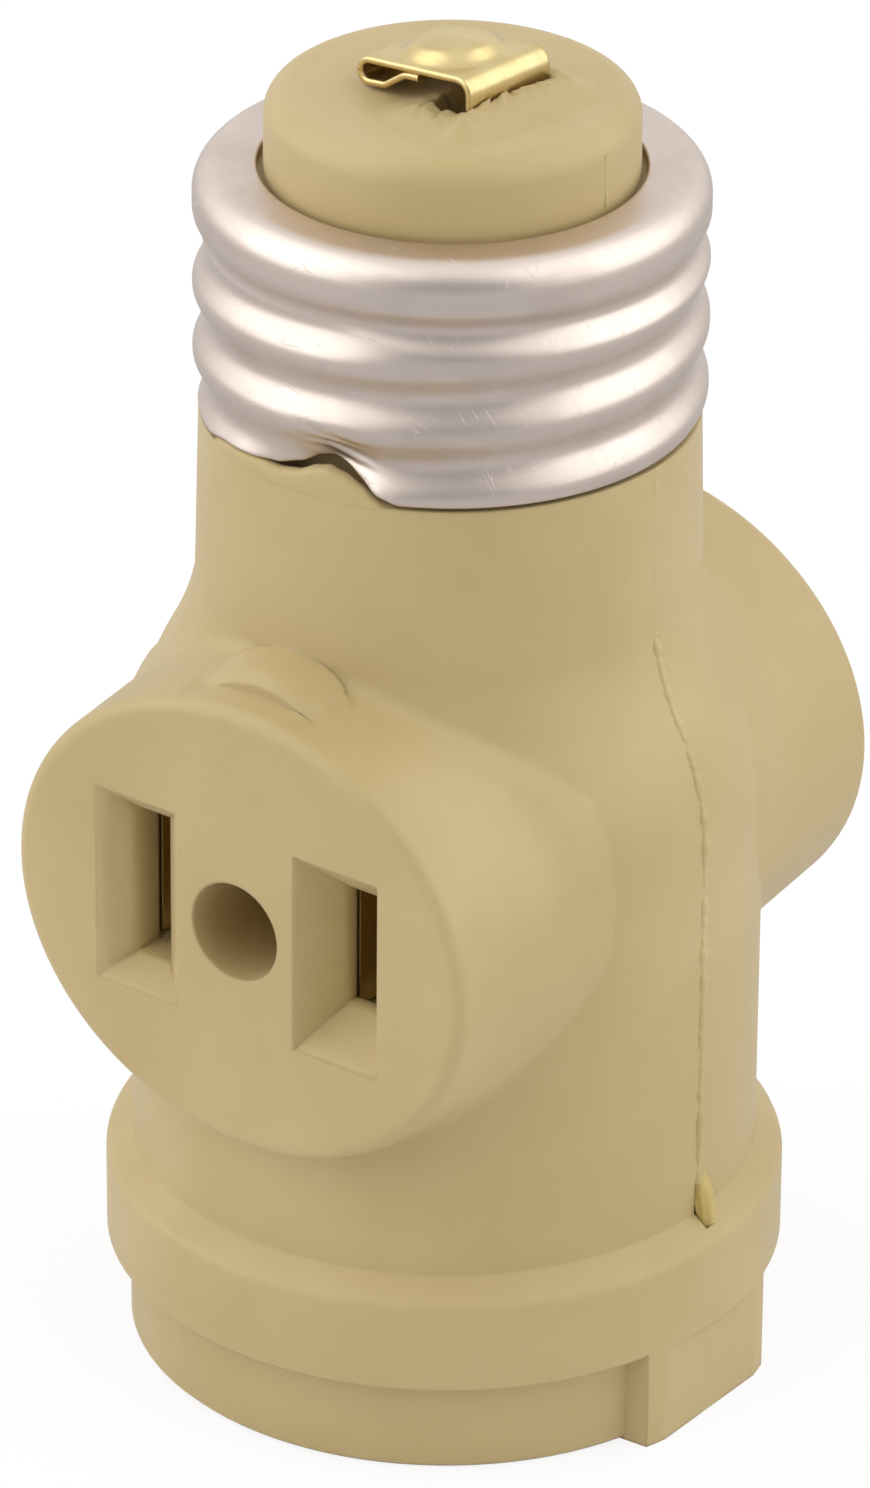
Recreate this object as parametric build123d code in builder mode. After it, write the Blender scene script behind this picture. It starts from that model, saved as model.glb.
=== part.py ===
from build123d import *
from math import atan, cos, degrees, pi, radians, sin
import os

# Lamp socket adapter, in millimetres. The screw base points along +Z, the front outlet
# along -Y, and the two half shells meet on the plane Y = 0. The origin is the middle of the foot.

# Clearances
running_gap = 0.15
shell_gap = 0.25
pocket_gap = 0.4

# Outside of the housing
body_wall = 1.8
skirt_step = 0.2
skirt_height = 5.3
collar_step = 1.45
collar_height = 5.55
flare_drop = 0.5
flare_margin = 1.05
neck_length = 9.7
neck_inset = 0.3
nub_inset = 0.35
nub_height = 4.0
edge_bevel = 0.3
collar_round = 0.8
nub_round = 1.4
seam_lug_half_angle = 16.6
seam_lug_slant = 2.4
seam_notch_width = 0.7
seam_notch_height = 3.4
seam_notch_depth = 0.8

# Outlets
face_reach = 1.6
face_inset = 2.2
face_half_height = 12.45
boss_spread = 1.5
face_round = 0.8
boss_root_round = 0.9
boss_lug_radius = 5.5
boss_lug_rise = 1.1
boss_lug_setback = 2.07
slot_spacing = 12.7
slot_width = 2.0
neutral_slot_height = 8.3
hot_slot_height = 6.6
neutral_funnel_depth = 1.6
hot_funnel_depth = 2.6
funnel_margin_x = 3.3
funnel_margin_y = 2.9
slot_land = 0.6
slot_sill = 0.05
rivet_well_gap = 0.3
rivet_well_depth = 7.5

# Screw thread of the base and of the lamp socket, seven turns to the inch
thread_pitch = 25.4 / 7
thread_depth = 0.65
thread_width = 3.4
thread_overlap = 0.2
shell_sheet = 0.35

# Plug shell
plug_crest_radius = 13.1
shell_height = 13.1
shell_rim_width = 3.25
shell_roll = 1.5
rim_groove_drop = 3.7
rim_groove_half_width = 1.45
plug_valley_rise = 2.6
shell_notch_angle = -80.0
shell_notch_height = 2.0
shell_notch_run = 4.5
shell_notch_fall = 1.8
shell_notch_top = 0.8

# Tip contact
tip_width = 6.05
tip_height = 1.4
tip_sheet = 0.4
tip_twist = 9.0
tip_tail_reach = 1.2
tip_leg_end = 2.2
tip_roll_radius = 0.9
tip_fold_radius = 0.68
tip_slot_length = 2.8
tip_slot_gap = 0.3
dome_margin = 1.0
dome_run = 1.05
dome_height = 1.5
dome_round = 0.35

# Lamp socket
mouth_step = 0.65
mouth_depth = 3.5
lamp_flange_land = 1.5
lamp_flange_gap = 1.2
lamp_flange_round = 0.9
lamp_thread_margin = 2.7
lamp_thread_height = 13.0
socket_depth = 21.9
floor_thickness = 1.6
floor_grip = 0.65

# Brass strips and contacts
strip_sheet = 0.5
strip_width = 4.0
bend_radius = 0.6
contact_margin = 1.1
contact_web_half_length = 6.5
contact_end = 2.8
contact_inner_gap = 2.4
contact_pinch_gap = 1.3
pocket_end_gap = 0.5
chamber_height = 2.8
chamber_end_gap = 0.75
link_gap = 0.4
tongue_width = 5.0
tongue_tab = 1.9
tongue_reach = 4.2
tongue_dip = 4.3
tongue_lift = 1.0
tongue_tip = 1.8
tongue_rivet_offset = 4.5
riser_pad_height = 5.5
riser_jog_rise = 0.9
riser_pad_gap = 0.25
riser_twist_rise = 2.2
riser_twist_drop = 3.0
riser_end_rise = 2.0

# Rivets and locating pegs
rivet_radius = 0.8
rivet_head_radius = 1.3
rivet_head = 0.55
rivet_hole_gap = 0.05
housing_rivet_radius = 1.5
housing_rivet_head_radius = 2.4
housing_rivet_head = 0.9
shell_rivet_angle = 60.0
tip_rivet_rise = 7.3
peg_radius = 1.0
peg_length = 2.0
peg_inset = 3.5
upper_peg_offset = 4.0
upper_peg_rise = 2.0

# Contacts and their strips, from the spacing of the slots
slot_offset = slot_spacing / 2
contact_height = neutral_slot_height + contact_margin
contact_half_width = contact_inner_gap / 2 + strip_sheet
pocket_half_width = contact_half_width + pocket_gap
link_face = slot_offset + contact_half_width + link_gap
link_outside = link_face + strip_sheet
strip_pocket_width = strip_width + 2 * pocket_gap
tab_end = rivet_head_radius + running_gap
rivet_hole_radius = rivet_radius + rivet_hole_gap
foot_rivet_offset = link_outside + tab_end
riser_face = slot_offset - tab_end - strip_sheet - bend_radius

# Lamp socket and the housing round it, wide enough for the feet of the links
lamp_shell_radius = foot_rivet_offset + rivet_head_radius + lamp_flange_land + shell_sheet
lamp_bore_radius = lamp_shell_radius + pocket_gap
mouth_radius = lamp_bore_radius + mouth_step
lamp_rim_radius = mouth_radius - shell_gap
lamp_rim_round = pocket_gap - running_gap
lamp_flange_radius = tongue_rivet_offset + tongue_tab + lamp_flange_gap
lamp_thread_start = mouth_depth + lamp_thread_margin
floor_radius = lamp_bore_radius + floor_grip - running_gap
body_radius = lamp_bore_radius + floor_grip + body_wall
skirt_radius = body_radius + skirt_step
collar_radius = body_radius + collar_step
collar_top = skirt_height + collar_height
peg_offset = body_radius - peg_inset

# Levels, from the floor of the lamp socket up
floor_top = socket_depth + floor_thickness
pocket_floor = floor_top + chamber_height
contact_bottom = pocket_floor + running_gap
contact_top = contact_bottom + contact_height
link_top = contact_top + strip_sheet
riser_top = link_top + strip_sheet
pocket_top = contact_top + pocket_gap
stack_top = riser_top + rivet_head + pocket_gap
outlet_height = pocket_floor + slot_sill + neutral_slot_height / 2
flare_start = outlet_height - flare_drop
flare_end = outlet_height + face_half_height + flare_margin
upper_peg_height = flare_end + upper_peg_rise
shell_bottom = flare_end + neck_length
shell_top = shell_bottom + shell_height
nub_top = shell_top + nub_height

# Outlets
face_distance = body_radius + face_reach
face_half_width = body_radius - face_inset
funnel_width = slot_width + funnel_margin_x
funnel_height = neutral_slot_height + funnel_margin_y
rivet_well_radius = housing_rivet_head_radius + rivet_well_gap
pocket_half_length = face_distance - hot_funnel_depth - slot_land
contact_half_length = pocket_half_length - pocket_end_gap
contact_pinch_position = contact_half_length - contact_end
chamber_half_length = foot_rivet_offset + tab_end + chamber_end_gap

# Screw base
plug_root_radius = plug_crest_radius - thread_depth
plug_valley_height = shell_bottom + plug_valley_rise
rim_groove_height = shell_top - rim_groove_drop
shell_rim_radius = plug_crest_radius - shell_rim_width
neck_radius = plug_crest_radius - neck_inset
nub_radius = shell_rim_radius - nub_inset
spigot_radius = plug_root_radius - shell_sheet - shell_gap
spigot_base = shell_bottom - shell_gap
spigot_top = shell_top - shell_sheet - shell_gap

# Risers and tip contact
tip_pocket_width = tip_width + 2 * pocket_gap
tip_rivet_height = shell_bottom + tip_rivet_rise
riser_twist_start = stack_top + riser_twist_rise
riser_twist_end = tip_rivet_height - riser_twist_drop
riser_pad_radius = plug_root_radius - shell_sheet - riser_pad_gap
riser_pad_face = (riser_pad_radius**2 - (strip_width / 2) ** 2) ** 0.5
jog_height = shell_bottom + riser_jog_rise
pad_top = jog_height + riser_pad_height
dome_radius = riser_face - dome_margin
dome_top_radius = dome_radius - dome_run
dome_taper = degrees(atan(dome_run / dome_height))

level = Plane.XY
tip_frame = Plane.XY.rotated((0, 0, -tip_twist))
front_face = Plane((0, -face_distance, outlet_height), x_dir=(1, 0, 0), z_dir=(0, -1, 0))
rear_face = Plane((0, face_distance, outlet_height), x_dir=(-1, 0, 0), z_dir=(0, 1, 0))
outlets = ((front_face, 1), (rear_face, -1))
tip_rivet_plane = Plane(
    tip_frame.from_local_coords((riser_face, 0, tip_rivet_height)), z_dir=tip_frame.x_dir
)
shell_rivet_places = [
    (foot_rivet_offset * cos(radians(angle)), foot_rivet_offset * sin(radians(angle)))
    for angle in (-shell_rivet_angle, shell_rivet_angle)
]
peg_places = [
    (-peg_offset, outlet_height),
    (peg_offset, outlet_height),
    (-upper_peg_offset, upper_peg_height),
]


def upright(frame):
    """Upright plane through a frame, with x along the frame's x and y upwards."""
    return Plane(frame.origin, x_dir=frame.x_dir, z_dir=-frame.y_dir)


def rivet(plane, grip, radius, head_radius, head):
    """Rivet with a low head at each end of the stack that it clamps."""
    with BuildPart() as body:
        with BuildSketch(plane):
            Circle(radius)
        extrude(amount=grip)
        with BuildSketch(plane.offset(grip)):
            Circle(head_radius)
        extrude(amount=head, taper=30)
        with BuildSketch(plane):
            Circle(head_radius)
        extrude(amount=-head, taper=30)
    return body.part


def upward_rivet(x, y, bottom, top):
    """Upright rivet at a place, through everything from bottom to top."""
    return rivet(
        Plane((x, y, bottom)), top - bottom, rivet_radius, rivet_head_radius, rivet_head
    )


def bent_strip(frame, points, side, sheet, width):
    """Strip of sheet bent along a line of points, which is one of its two faces."""
    with BuildPart() as strip:
        with BuildSketch(upright(frame)):
            with BuildLine():
                face = FilletPolyline(*points, radius=bend_radius)
                offset(face, amount=sheet, side=side)
            make_face()
        extrude(amount=width / 2, both=True)
    return strip.part


def bevel(radius):
    """Bevel that touches the middle of a round of this radius."""
    return (2 - 2**0.5) * radius


def valley_section(plane, half_width, steps):
    """Cross-section of a rolled valley, with flanks that follow a cosine."""
    with BuildSketch(plane) as section:
        with BuildLine():
            Polyline(
                (thread_overlap, -half_width),
                *[
                    (-thread_depth * (1 + cos(pi * step / steps)) / 2, half_width * step / steps)
                    for step in range(-steps, steps + 1)
                ],
                (thread_overlap, half_width),
                close=True,
            )
        make_face()
    return section.sketch


def rolled_form(points, radii, wall_radius, start, height, steps):
    """Solid of revolution of an outline, with a helical valley cut into its wall."""
    with BuildPart() as form:
        with BuildSketch(Plane.XZ):
            with BuildLine():
                side = FilletPolyline(*points, radius=radii)
                bottom, top = side @ 0, side @ 1
                Polyline(top, (0, top.Y), (0, bottom.Y), bottom)
            make_face()
        revolve(axis=Axis.Z)
        with BuildLine():
            path = Helix(thread_pitch, height, wall_radius, center=(0, 0, start))
        start_plane = Plane(path @ 0, x_dir=(1, 0, 0), z_dir=path % 0)
        section = valley_section(start_plane, thread_width / 2, steps)
        sweep(section, path=path, is_frenet=True, mode=Mode.SUBTRACT)
    return form.part


def arc_section(plane, half_width):
    """Cross-section of a rolled valley as one arc."""
    with BuildSketch(plane) as section:
        with BuildLine():
            hollow = ThreePointArc(
                (thread_overlap, -half_width), (-thread_depth, 0), (thread_overlap, half_width)
            )
            Line(hollow @ 1, hollow @ 0)
        make_face()
    return section.sketch


def plug_form(points, radius, steps, groove_section):
    """Solid with the outline, the thread and the ring groove of the plug shell."""
    start = plug_valley_height - 2 * thread_pitch
    with BuildPart() as form:
        add(rolled_form(points, radius, points[0][0], start, rim_groove_height - start, steps))
        revolve(groove_section, axis=Axis.Z, mode=Mode.SUBTRACT)
    return form.part


def lamp_form(inset, drop, steps):
    """Lamp shell as a solid, drawn in by an inset and longer by a drop at the bottom."""
    wall = lamp_shell_radius - inset
    rim = mouth_depth - inset
    top = socket_depth - inset
    rim_bevel = bevel(lamp_rim_round + inset)
    top_bevel = bevel(lamp_flange_round - inset)
    points = [
        (lamp_rim_radius - inset, mouth_depth - shell_sheet - drop),
        (lamp_rim_radius - inset, rim),
        (wall + rim_bevel, rim),
        (wall, rim + rim_bevel),
        (wall, top - top_bevel),
        (wall - top_bevel, top),
        (lamp_flange_radius - shell_sheet, top),
    ]
    return rolled_form(points, 0, wall, lamp_thread_start, lamp_thread_height, steps)


def spring_contact(offset_x):
    """Inverted channel whose two walls run through both outlets and pinch the blades."""
    middle = contact_inner_gap / 2
    pinch = contact_pinch_gap / 2
    with BuildPart() as contact:
        for side in (-1, 1):
            with BuildSketch(Plane((offset_x, 0, contact_bottom))):
                with BuildLine():
                    inner = Polyline(
                        (side * middle, -contact_half_length),
                        (side * pinch, -contact_pinch_position),
                        (side * middle, -contact_web_half_length),
                        (side * middle, contact_web_half_length),
                        (side * pinch, contact_pinch_position),
                        (side * middle, contact_half_length),
                    )
                    offset(
                        inner,
                        amount=strip_sheet,
                        side=Side.RIGHT if side > 0 else Side.LEFT,
                    )
                make_face()
            extrude(amount=contact_height)
        with BuildSketch(Plane((offset_x, 0, contact_top))):
            Rectangle(2 * contact_half_width, 2 * contact_web_half_length)
        extrude(amount=-strip_sheet)
    return contact.part


def drilled(part, plane, radius, depth):
    """Part with a round hole from a plane down to a depth."""
    with BuildPart() as result:
        add(part)
        with BuildSketch(plane):
            Circle(radius)
        extrude(amount=-depth, mode=Mode.SUBTRACT)
    return result.part


def save(name, part):
    """Label a finished piece and write it."""
    part.label = name
    export_step(part, f"parts/{name}.step")


os.makedirs("parts", exist_ok=True)

# Outside of the housing, turned about the lamp axis
with BuildPart() as housing:
    with BuildSketch(Plane.XZ):
        with BuildLine():
            foot = Polyline(
                (0, 0),
                (skirt_radius - edge_bevel, 0),
                (skirt_radius, edge_bevel),
                (skirt_radius, skirt_height),
                (collar_radius - edge_bevel, skirt_height),
            )
            collar = FilletPolyline(
                foot @ 1,
                (collar_radius, skirt_height + edge_bevel),
                (collar_radius, collar_top),
                (body_radius + edge_bevel, collar_top),
                (body_radius, collar_top + edge_bevel),
                (body_radius, flare_start),
                radius=[0, collar_round, 0, 0],
            )
            flare_middle = ((body_radius + neck_radius) / 2, (flare_start + flare_end) / 2)
            shoulder = TangentArc(collar @ 1, flare_middle, tangent=(0, 1))
            hollow = TangentArc(shoulder @ 1, (neck_radius, flare_end), tangent=shoulder % 1)
            spigot = Polyline(
                hollow @ 1,
                (neck_radius, spigot_base),
                (spigot_radius, spigot_base),
                (spigot_radius, spigot_top),
                (nub_radius, spigot_top),
            )
            nub = FilletPolyline(
                spigot @ 1, (nub_radius, nub_top), (0, nub_top), radius=nub_round
            )
            Line(nub @ 1, foot @ 0)
        make_face()
    revolve(axis=Axis.Z)

    # Outlet bosses with the shallow lug over each
    for face, side in outlets:
        with BuildSketch(face):
            Ellipse(face_half_width, face_half_height)
        with BuildSketch(face.offset(-face_distance)):
            Ellipse(face_half_width + boss_spread, face_half_height + boss_spread)
        loft()
    fillet(housing.edges().filter_by(GeomType.BSPLINE), boss_root_round)
    fillet(housing.faces().sort_by(Axis.Y)[0].edges(), face_round)
    fillet(housing.faces().sort_by(Axis.Y)[-1].edges(), face_round)
    for face, side in outlets:
        with BuildSketch(face.offset(-boss_lug_setback)):
            with Locations((0, face_half_height + boss_lug_rise - boss_lug_radius)):
                Circle(boss_lug_radius)
        extrude(amount=boss_lug_setback + neck_radius / 2 - face_distance)

    # Lugs that fill the step under the collar at the seam
    with BuildSketch(Plane.XY):
        for turn in (0, 180):
            foot_angle = seam_lug_half_angle + seam_lug_slant
            with BuildLine():
                Polyline(
                    *[
                        (reach * cos(radians(turn + angle)), reach * sin(radians(turn + angle)))
                        for reach, angle in (
                            (skirt_radius - edge_bevel, -foot_angle),
                            (collar_radius + edge_bevel, -seam_lug_half_angle),
                            (collar_radius + edge_bevel, seam_lug_half_angle),
                            (skirt_radius - edge_bevel, foot_angle),
                        )
                    ],
                    close=True,
                )
            make_face()
        Circle(collar_radius, mode=Mode.INTERSECT)
    extrude(amount=skirt_height + edge_bevel)

    # Pocket that the moulding left in the seam above the collar
    with BuildSketch(Plane.XY.offset(collar_top - collar_round)):
        with Locations((body_radius, 0)):
            Rectangle(2 * seam_notch_depth, seam_notch_width)
    extrude(amount=seam_notch_height, mode=Mode.SUBTRACT)

    # Lamp socket bore, with its mouth and the groove that traps the floor
    with BuildSketch(Plane.XZ):
        with BuildLine():
            Polyline(
                (0, 0),
                (mouth_radius, 0),
                (mouth_radius, mouth_depth),
                (lamp_bore_radius, mouth_depth),
                (lamp_bore_radius, socket_depth),
                (lamp_bore_radius + floor_grip, socket_depth),
                (lamp_bore_radius + floor_grip, floor_top),
                (0, floor_top),
                close=True,
            )
        make_face()
    revolve(axis=Axis.Z, mode=Mode.SUBTRACT)

    # Chamber of the links over the floor, and wells for the heads of the lamp shell rivets
    with BuildSketch(Plane.XY.offset(floor_top)):
        Rectangle(2 * chamber_half_length, strip_pocket_width)
    extrude(amount=chamber_height, mode=Mode.SUBTRACT)
    with BuildSketch(Plane.XY.offset(floor_top)):
        with Locations(*shell_rivet_places):
            Circle(rivet_head_radius + pocket_gap)
    extrude(amount=rivet_head + pocket_gap, mode=Mode.SUBTRACT)

    # Pockets of the contacts, and of the strips beside and above them
    with BuildSketch(Plane.XY.offset(pocket_floor)):
        with Locations((slot_offset, 0), (-slot_offset, 0)):
            Rectangle(2 * pocket_half_width, 2 * pocket_half_length)
    extrude(amount=pocket_top - pocket_floor, mode=Mode.SUBTRACT)
    strip_pocket_inside = riser_face - pocket_gap
    strip_pocket_length = link_outside + pocket_gap - strip_pocket_inside
    with BuildSketch(Plane.XY.offset(pocket_floor)):
        for side in (-1, 1):
            with Locations((side * (strip_pocket_inside + strip_pocket_length / 2), 0)):
                Rectangle(strip_pocket_length, strip_pocket_width)
    extrude(amount=stack_top - pocket_floor, mode=Mode.SUBTRACT)

    # Shaft of the neutral riser, open to the plug shell at its upper end
    with BuildSketch(Plane.XY.offset(stack_top)):
        with Locations((-(link_face + strip_sheet / 2), 0)):
            Rectangle(strip_sheet + 2 * pocket_gap, strip_pocket_width)
    extrude(amount=pad_top + pocket_gap - stack_top, mode=Mode.SUBTRACT)
    with BuildSketch(Plane.XY.offset(jog_height - pocket_gap)):
        with Locations((-(link_face + spigot_radius) / 2, 0)):
            Rectangle(spigot_radius - link_face + 2 * pocket_gap, strip_pocket_width)
    extrude(amount=pad_top + 2 * pocket_gap - jog_height, mode=Mode.SUBTRACT)

    # Shaft of the hot riser, and the slot in the nub where the tip contact goes in
    shaft_inside = riser_face - tip_sheet - rivet_head - pocket_gap
    shaft_outside = riser_face + strip_sheet + rivet_head + pocket_gap
    with BuildSketch(tip_frame.offset(pocket_top)):
        with Locations(((shaft_inside + shaft_outside) / 2, 0)):
            Rectangle(shaft_outside - shaft_inside, tip_pocket_width)
    extrude(amount=spigot_top - pocket_top, mode=Mode.SUBTRACT)
    with BuildSketch(tip_frame.offset(spigot_top)):
        with Locations((riser_face - tip_slot_length / 2 + tip_slot_gap, 0)):
            Rectangle(tip_slot_length, tip_width + 2 * tip_slot_gap)
    extrude(amount=nub_height + shell_sheet + shell_gap, mode=Mode.SUBTRACT)

    # Well and hole of the housing rivet, and the funnelled slots of each outlet
    for face, side in outlets:
        with BuildSketch(face):
            Circle(rivet_well_radius)
        extrude(amount=-rivet_well_depth, mode=Mode.SUBTRACT)
        with BuildSketch(face):
            Circle(housing_rivet_radius + running_gap)
        extrude(amount=-face_distance, mode=Mode.SUBTRACT)
        for place, slot_height, funnel_depth in (
            (side * slot_offset, hot_slot_height, hot_funnel_depth),
            (-side * slot_offset, neutral_slot_height, neutral_funnel_depth),
        ):
            with BuildSketch(face):
                with Locations((place, 0)):
                    Rectangle(funnel_width, funnel_height)
            with BuildSketch(face.offset(-funnel_depth)):
                with Locations((place, 0)):
                    Rectangle(slot_width, slot_height)
            loft(mode=Mode.SUBTRACT)
            with BuildSketch(face.offset(-funnel_depth)):
                with Locations((place, 0)):
                    Rectangle(slot_width, slot_height)
            extrude(
                amount=funnel_depth + pocket_half_length - face_distance, mode=Mode.SUBTRACT
            )

# Half shells, with locating pegs on the front one
with BuildPart() as front_housing:
    add(housing.part)
    split(bisect_by=Plane.XZ, keep=Keep.TOP)
    with BuildSketch(Plane.XZ):
        with Locations(*peg_places):
            Circle(peg_radius)
    extrude(amount=-peg_length)
save("front_housing", front_housing.part)

with BuildPart() as rear_housing:
    add(housing.part)
    split(bisect_by=Plane.XZ, keep=Keep.BOTTOM)
    with BuildSketch(Plane.XZ):
        with Locations(*peg_places):
            Circle(peg_radius + running_gap)
    extrude(amount=-peg_length - running_gap, mode=Mode.SUBTRACT)
save("rear_housing", rear_housing.part)

# Plug shell of the screw base, notched in its lower edge
outside = plug_crest_radius
inside = plug_crest_radius - shell_sheet
inside_top = shell_top - shell_sheet
inside_bevel = bevel(shell_roll - shell_sheet)
rim_hole = shell_rim_radius - shell_sheet
outside_points = [(outside, shell_bottom), (outside, shell_top), (rim_hole, shell_top)]
inside_points = [
    (inside, shell_bottom - shell_height),
    (inside, inside_top - inside_bevel),
    (inside - inside_bevel, inside_top),
    (rim_hole, inside_top),
]
outside_groove = Plane((outside, 0, rim_groove_height), x_dir=(1, 0, 0), z_dir=(0, -1, 0))
inside_groove = Plane((inside, 0, rim_groove_height), x_dir=(1, 0, 0), z_dir=(0, -1, 0))
outside_section = valley_section(outside_groove, rim_groove_half_width, 3)
inside_section = arc_section(inside_groove, rim_groove_half_width - running_gap)
with BuildPart() as plug_shell:
    add(plug_form(outside_points, shell_roll, 3, outside_section))
    add(plug_form(inside_points, 0, 1, inside_section), mode=Mode.SUBTRACT)
    with BuildSketch(Plane.XY.offset(shell_top)):
        Circle(shell_rim_radius)
    extrude(amount=-2 * shell_sheet, mode=Mode.SUBTRACT)
    notch_plane = Plane.XY.rotated((0, 0, shell_notch_angle)).offset(shell_bottom)
    notch_side = Plane(notch_plane.origin, x_dir=notch_plane.y_dir, z_dir=notch_plane.x_dir)
    with BuildSketch(notch_side):
        with BuildLine():
            run = TangentArc(
                (-shell_notch_run, 0),
                (-shell_notch_top / 2, shell_notch_height),
                tangent=(1, 0),
            )
            Polyline(
                run @ 1, (shell_notch_top / 2, shell_notch_height), (shell_notch_fall, 0), run @ 0
            )
        make_face()
    extrude(amount=plug_crest_radius + shell_gap, mode=Mode.SUBTRACT)
save("plug_shell", plug_shell.part)

# Tip contact: a strip folded flat over the nub, with a dome pressed into its top
tip_top = nub_top + tip_height
with BuildPart() as tip_contact:
    with BuildSketch(upright(tip_frame)):
        with BuildLine():
            fold = FilletPolyline(
                (riser_face, tip_rivet_height - tip_leg_end),
                (riser_face, tip_top),
                (-riser_face, tip_top),
                (-riser_face, nub_top),
                (tip_tail_reach, nub_top),
                radius=[tip_roll_radius, tip_fold_radius, tip_fold_radius],
            )
            offset(fold, amount=tip_sheet, side=Side.RIGHT)
        make_face()
    extrude(amount=tip_width / 2, both=True)
    with BuildSketch(tip_frame.offset(tip_top)):
        Circle(dome_radius)
    extrude(amount=dome_height, taper=dome_taper)
    with BuildSketch(tip_frame.offset(tip_top - tip_sheet)):
        Circle(dome_radius - tip_sheet / 2)
    extrude(amount=dome_height, taper=dome_taper, mode=Mode.SUBTRACT)
    fillet(tip_contact.edges().sort_by(Axis.Z)[-1], dome_round)
save("tip_contact", drilled(tip_contact.part, tip_rivet_plane, rivet_hole_radius, strip_sheet))

# Spring contacts, each with its link down and its riser up on one rivet
for name, side in (("hot", 1), ("neutral", -1)):
    place = (side * slot_offset, 0)
    save(
        f"{name}_contact",
        drilled(
            spring_contact(side * slot_offset),
            Plane((*place, contact_top)),
            rivet_hole_radius,
            strip_sheet,
        ),
    )
    save(
        f"{name}_stack_rivet",
        upward_rivet(*place, contact_top - strip_sheet, riser_top),
    )

# Links from the contacts down to the lamp socket, with a foot on the socket floor
hot_link = bent_strip(
    level,
    [
        (slot_offset - tab_end, contact_top),
        (link_face, contact_top),
        (link_face, floor_top + strip_sheet),
        (tongue_rivet_offset - tab_end, floor_top + strip_sheet),
    ],
    Side.LEFT,
    strip_sheet,
    strip_width,
)
neutral_link = bent_strip(
    level,
    [
        (tab_end - slot_offset, contact_top),
        (-link_face, contact_top),
        (-link_face, floor_top),
        (-foot_rivet_offset - tab_end, floor_top),
    ],
    Side.RIGHT,
    strip_sheet,
    strip_width,
)
for name, link, foot in (
    ("hot_link", hot_link, tongue_rivet_offset),
    ("neutral_link", neutral_link, -foot_rivet_offset),
):
    stack = Plane((slot_offset if foot > 0 else -slot_offset, 0, link_top))
    with_stack_hole = drilled(link, stack, rivet_hole_radius, strip_sheet)
    foot_plane = Plane((foot, 0, floor_top + strip_sheet))
    save(name, drilled(with_stack_hole, foot_plane, rivet_hole_radius, strip_sheet))

# Riser of the tip contact, which twists to meet its leg
with BuildPart() as hot_riser:
    add(
        bent_strip(
            level,
            [
                (slot_offset + tab_end, link_top),
                (riser_face, link_top),
                (riser_face, riser_twist_start),
            ],
            Side.RIGHT,
            strip_sheet,
            strip_width,
        )
    )
    for section_plane in (level.offset(riser_twist_start), tip_frame.offset(riser_twist_end)):
        with BuildSketch(section_plane):
            with Locations((riser_face + strip_sheet / 2, 0)):
                Rectangle(strip_sheet, strip_width)
    loft()
    with BuildSketch(tip_frame.offset(riser_twist_end)):
        with Locations((riser_face + strip_sheet / 2, 0)):
            Rectangle(strip_sheet, strip_width)
    extrude(amount=riser_twist_drop + riser_end_rise)
hot_stack = Plane((slot_offset, 0, riser_top))
hot_riser_drilled = drilled(hot_riser.part, hot_stack, rivet_hole_radius, strip_sheet)
save(
    "hot_riser",
    drilled(
        hot_riser_drilled,
        tip_rivet_plane.offset(strip_sheet),
        rivet_hole_radius,
        strip_sheet,
    ),
)
save(
    "tip_rivet",
    rivet(
        tip_rivet_plane.offset(-tip_sheet),
        tip_sheet + strip_sheet,
        rivet_radius,
        rivet_head_radius,
        rivet_head,
    ),
)

# Riser of the plug shell, with a pad that bears on the inside of the shell
neutral_riser = bent_strip(
    level,
    [
        (tab_end - slot_offset, link_top),
        (-link_outside, link_top),
        (-link_outside, jog_height),
        (-riser_pad_face, jog_height + riser_pad_face - link_outside),
        (-riser_pad_face, pad_top),
    ],
    Side.RIGHT,
    strip_sheet,
    strip_width,
)
neutral_stack = Plane((-slot_offset, 0, riser_top))
save("neutral_riser", drilled(neutral_riser, neutral_stack, rivet_hole_radius, strip_sheet))

# Lamp socket: threaded shell, floor and the tongue that meets the lamp
foot_holes = [(-foot_rivet_offset, 0), *shell_rivet_places]
with BuildPart() as lamp_shell:
    add(lamp_form(0, 0, 1))
    add(lamp_form(shell_sheet, mouth_depth, 3), mode=Mode.SUBTRACT)
    with BuildSketch(Plane.XY.offset(socket_depth)):
        Circle(lamp_flange_radius)
        with Locations(*foot_holes):
            Circle(rivet_hole_radius)
    extrude(amount=-2 * shell_sheet, mode=Mode.SUBTRACT)
save("lamp_shell", lamp_shell.part)

with BuildPart() as socket_floor:
    with BuildSketch(Plane.XY.offset(socket_depth)):
        Circle(floor_radius)
        with Locations((tongue_rivet_offset, 0), *foot_holes):
            Circle(rivet_hole_radius, mode=Mode.SUBTRACT)
    extrude(amount=floor_thickness)
save("socket_floor", socket_floor.part)

tongue = bent_strip(
    level,
    [
        (tongue_rivet_offset + tongue_tab, socket_depth),
        (tongue_rivet_offset - tongue_tab, socket_depth),
        (tongue_lift - tongue_reach + tongue_tip, socket_depth - tongue_dip),
        (-tongue_reach, socket_depth - tongue_dip + tongue_lift),
    ],
    Side.LEFT,
    strip_sheet,
    tongue_width,
)
tongue_top = Plane((tongue_rivet_offset, 0, socket_depth))
save("lamp_tongue", drilled(tongue, tongue_top, rivet_hole_radius, strip_sheet))
save(
    "tongue_rivet",
    upward_rivet(tongue_rivet_offset, 0, socket_depth - strip_sheet, floor_top + strip_sheet),
)
save(
    "neutral_link_rivet",
    upward_rivet(-foot_rivet_offset, 0, socket_depth - shell_sheet, floor_top + strip_sheet),
)
with BuildPart() as lamp_shell_rivets:
    for place in shell_rivet_places:
        add(upward_rivet(*place, socket_depth - shell_sheet, floor_top))
save("lamp_shell_rivets", lamp_shell_rivets.part)

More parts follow.
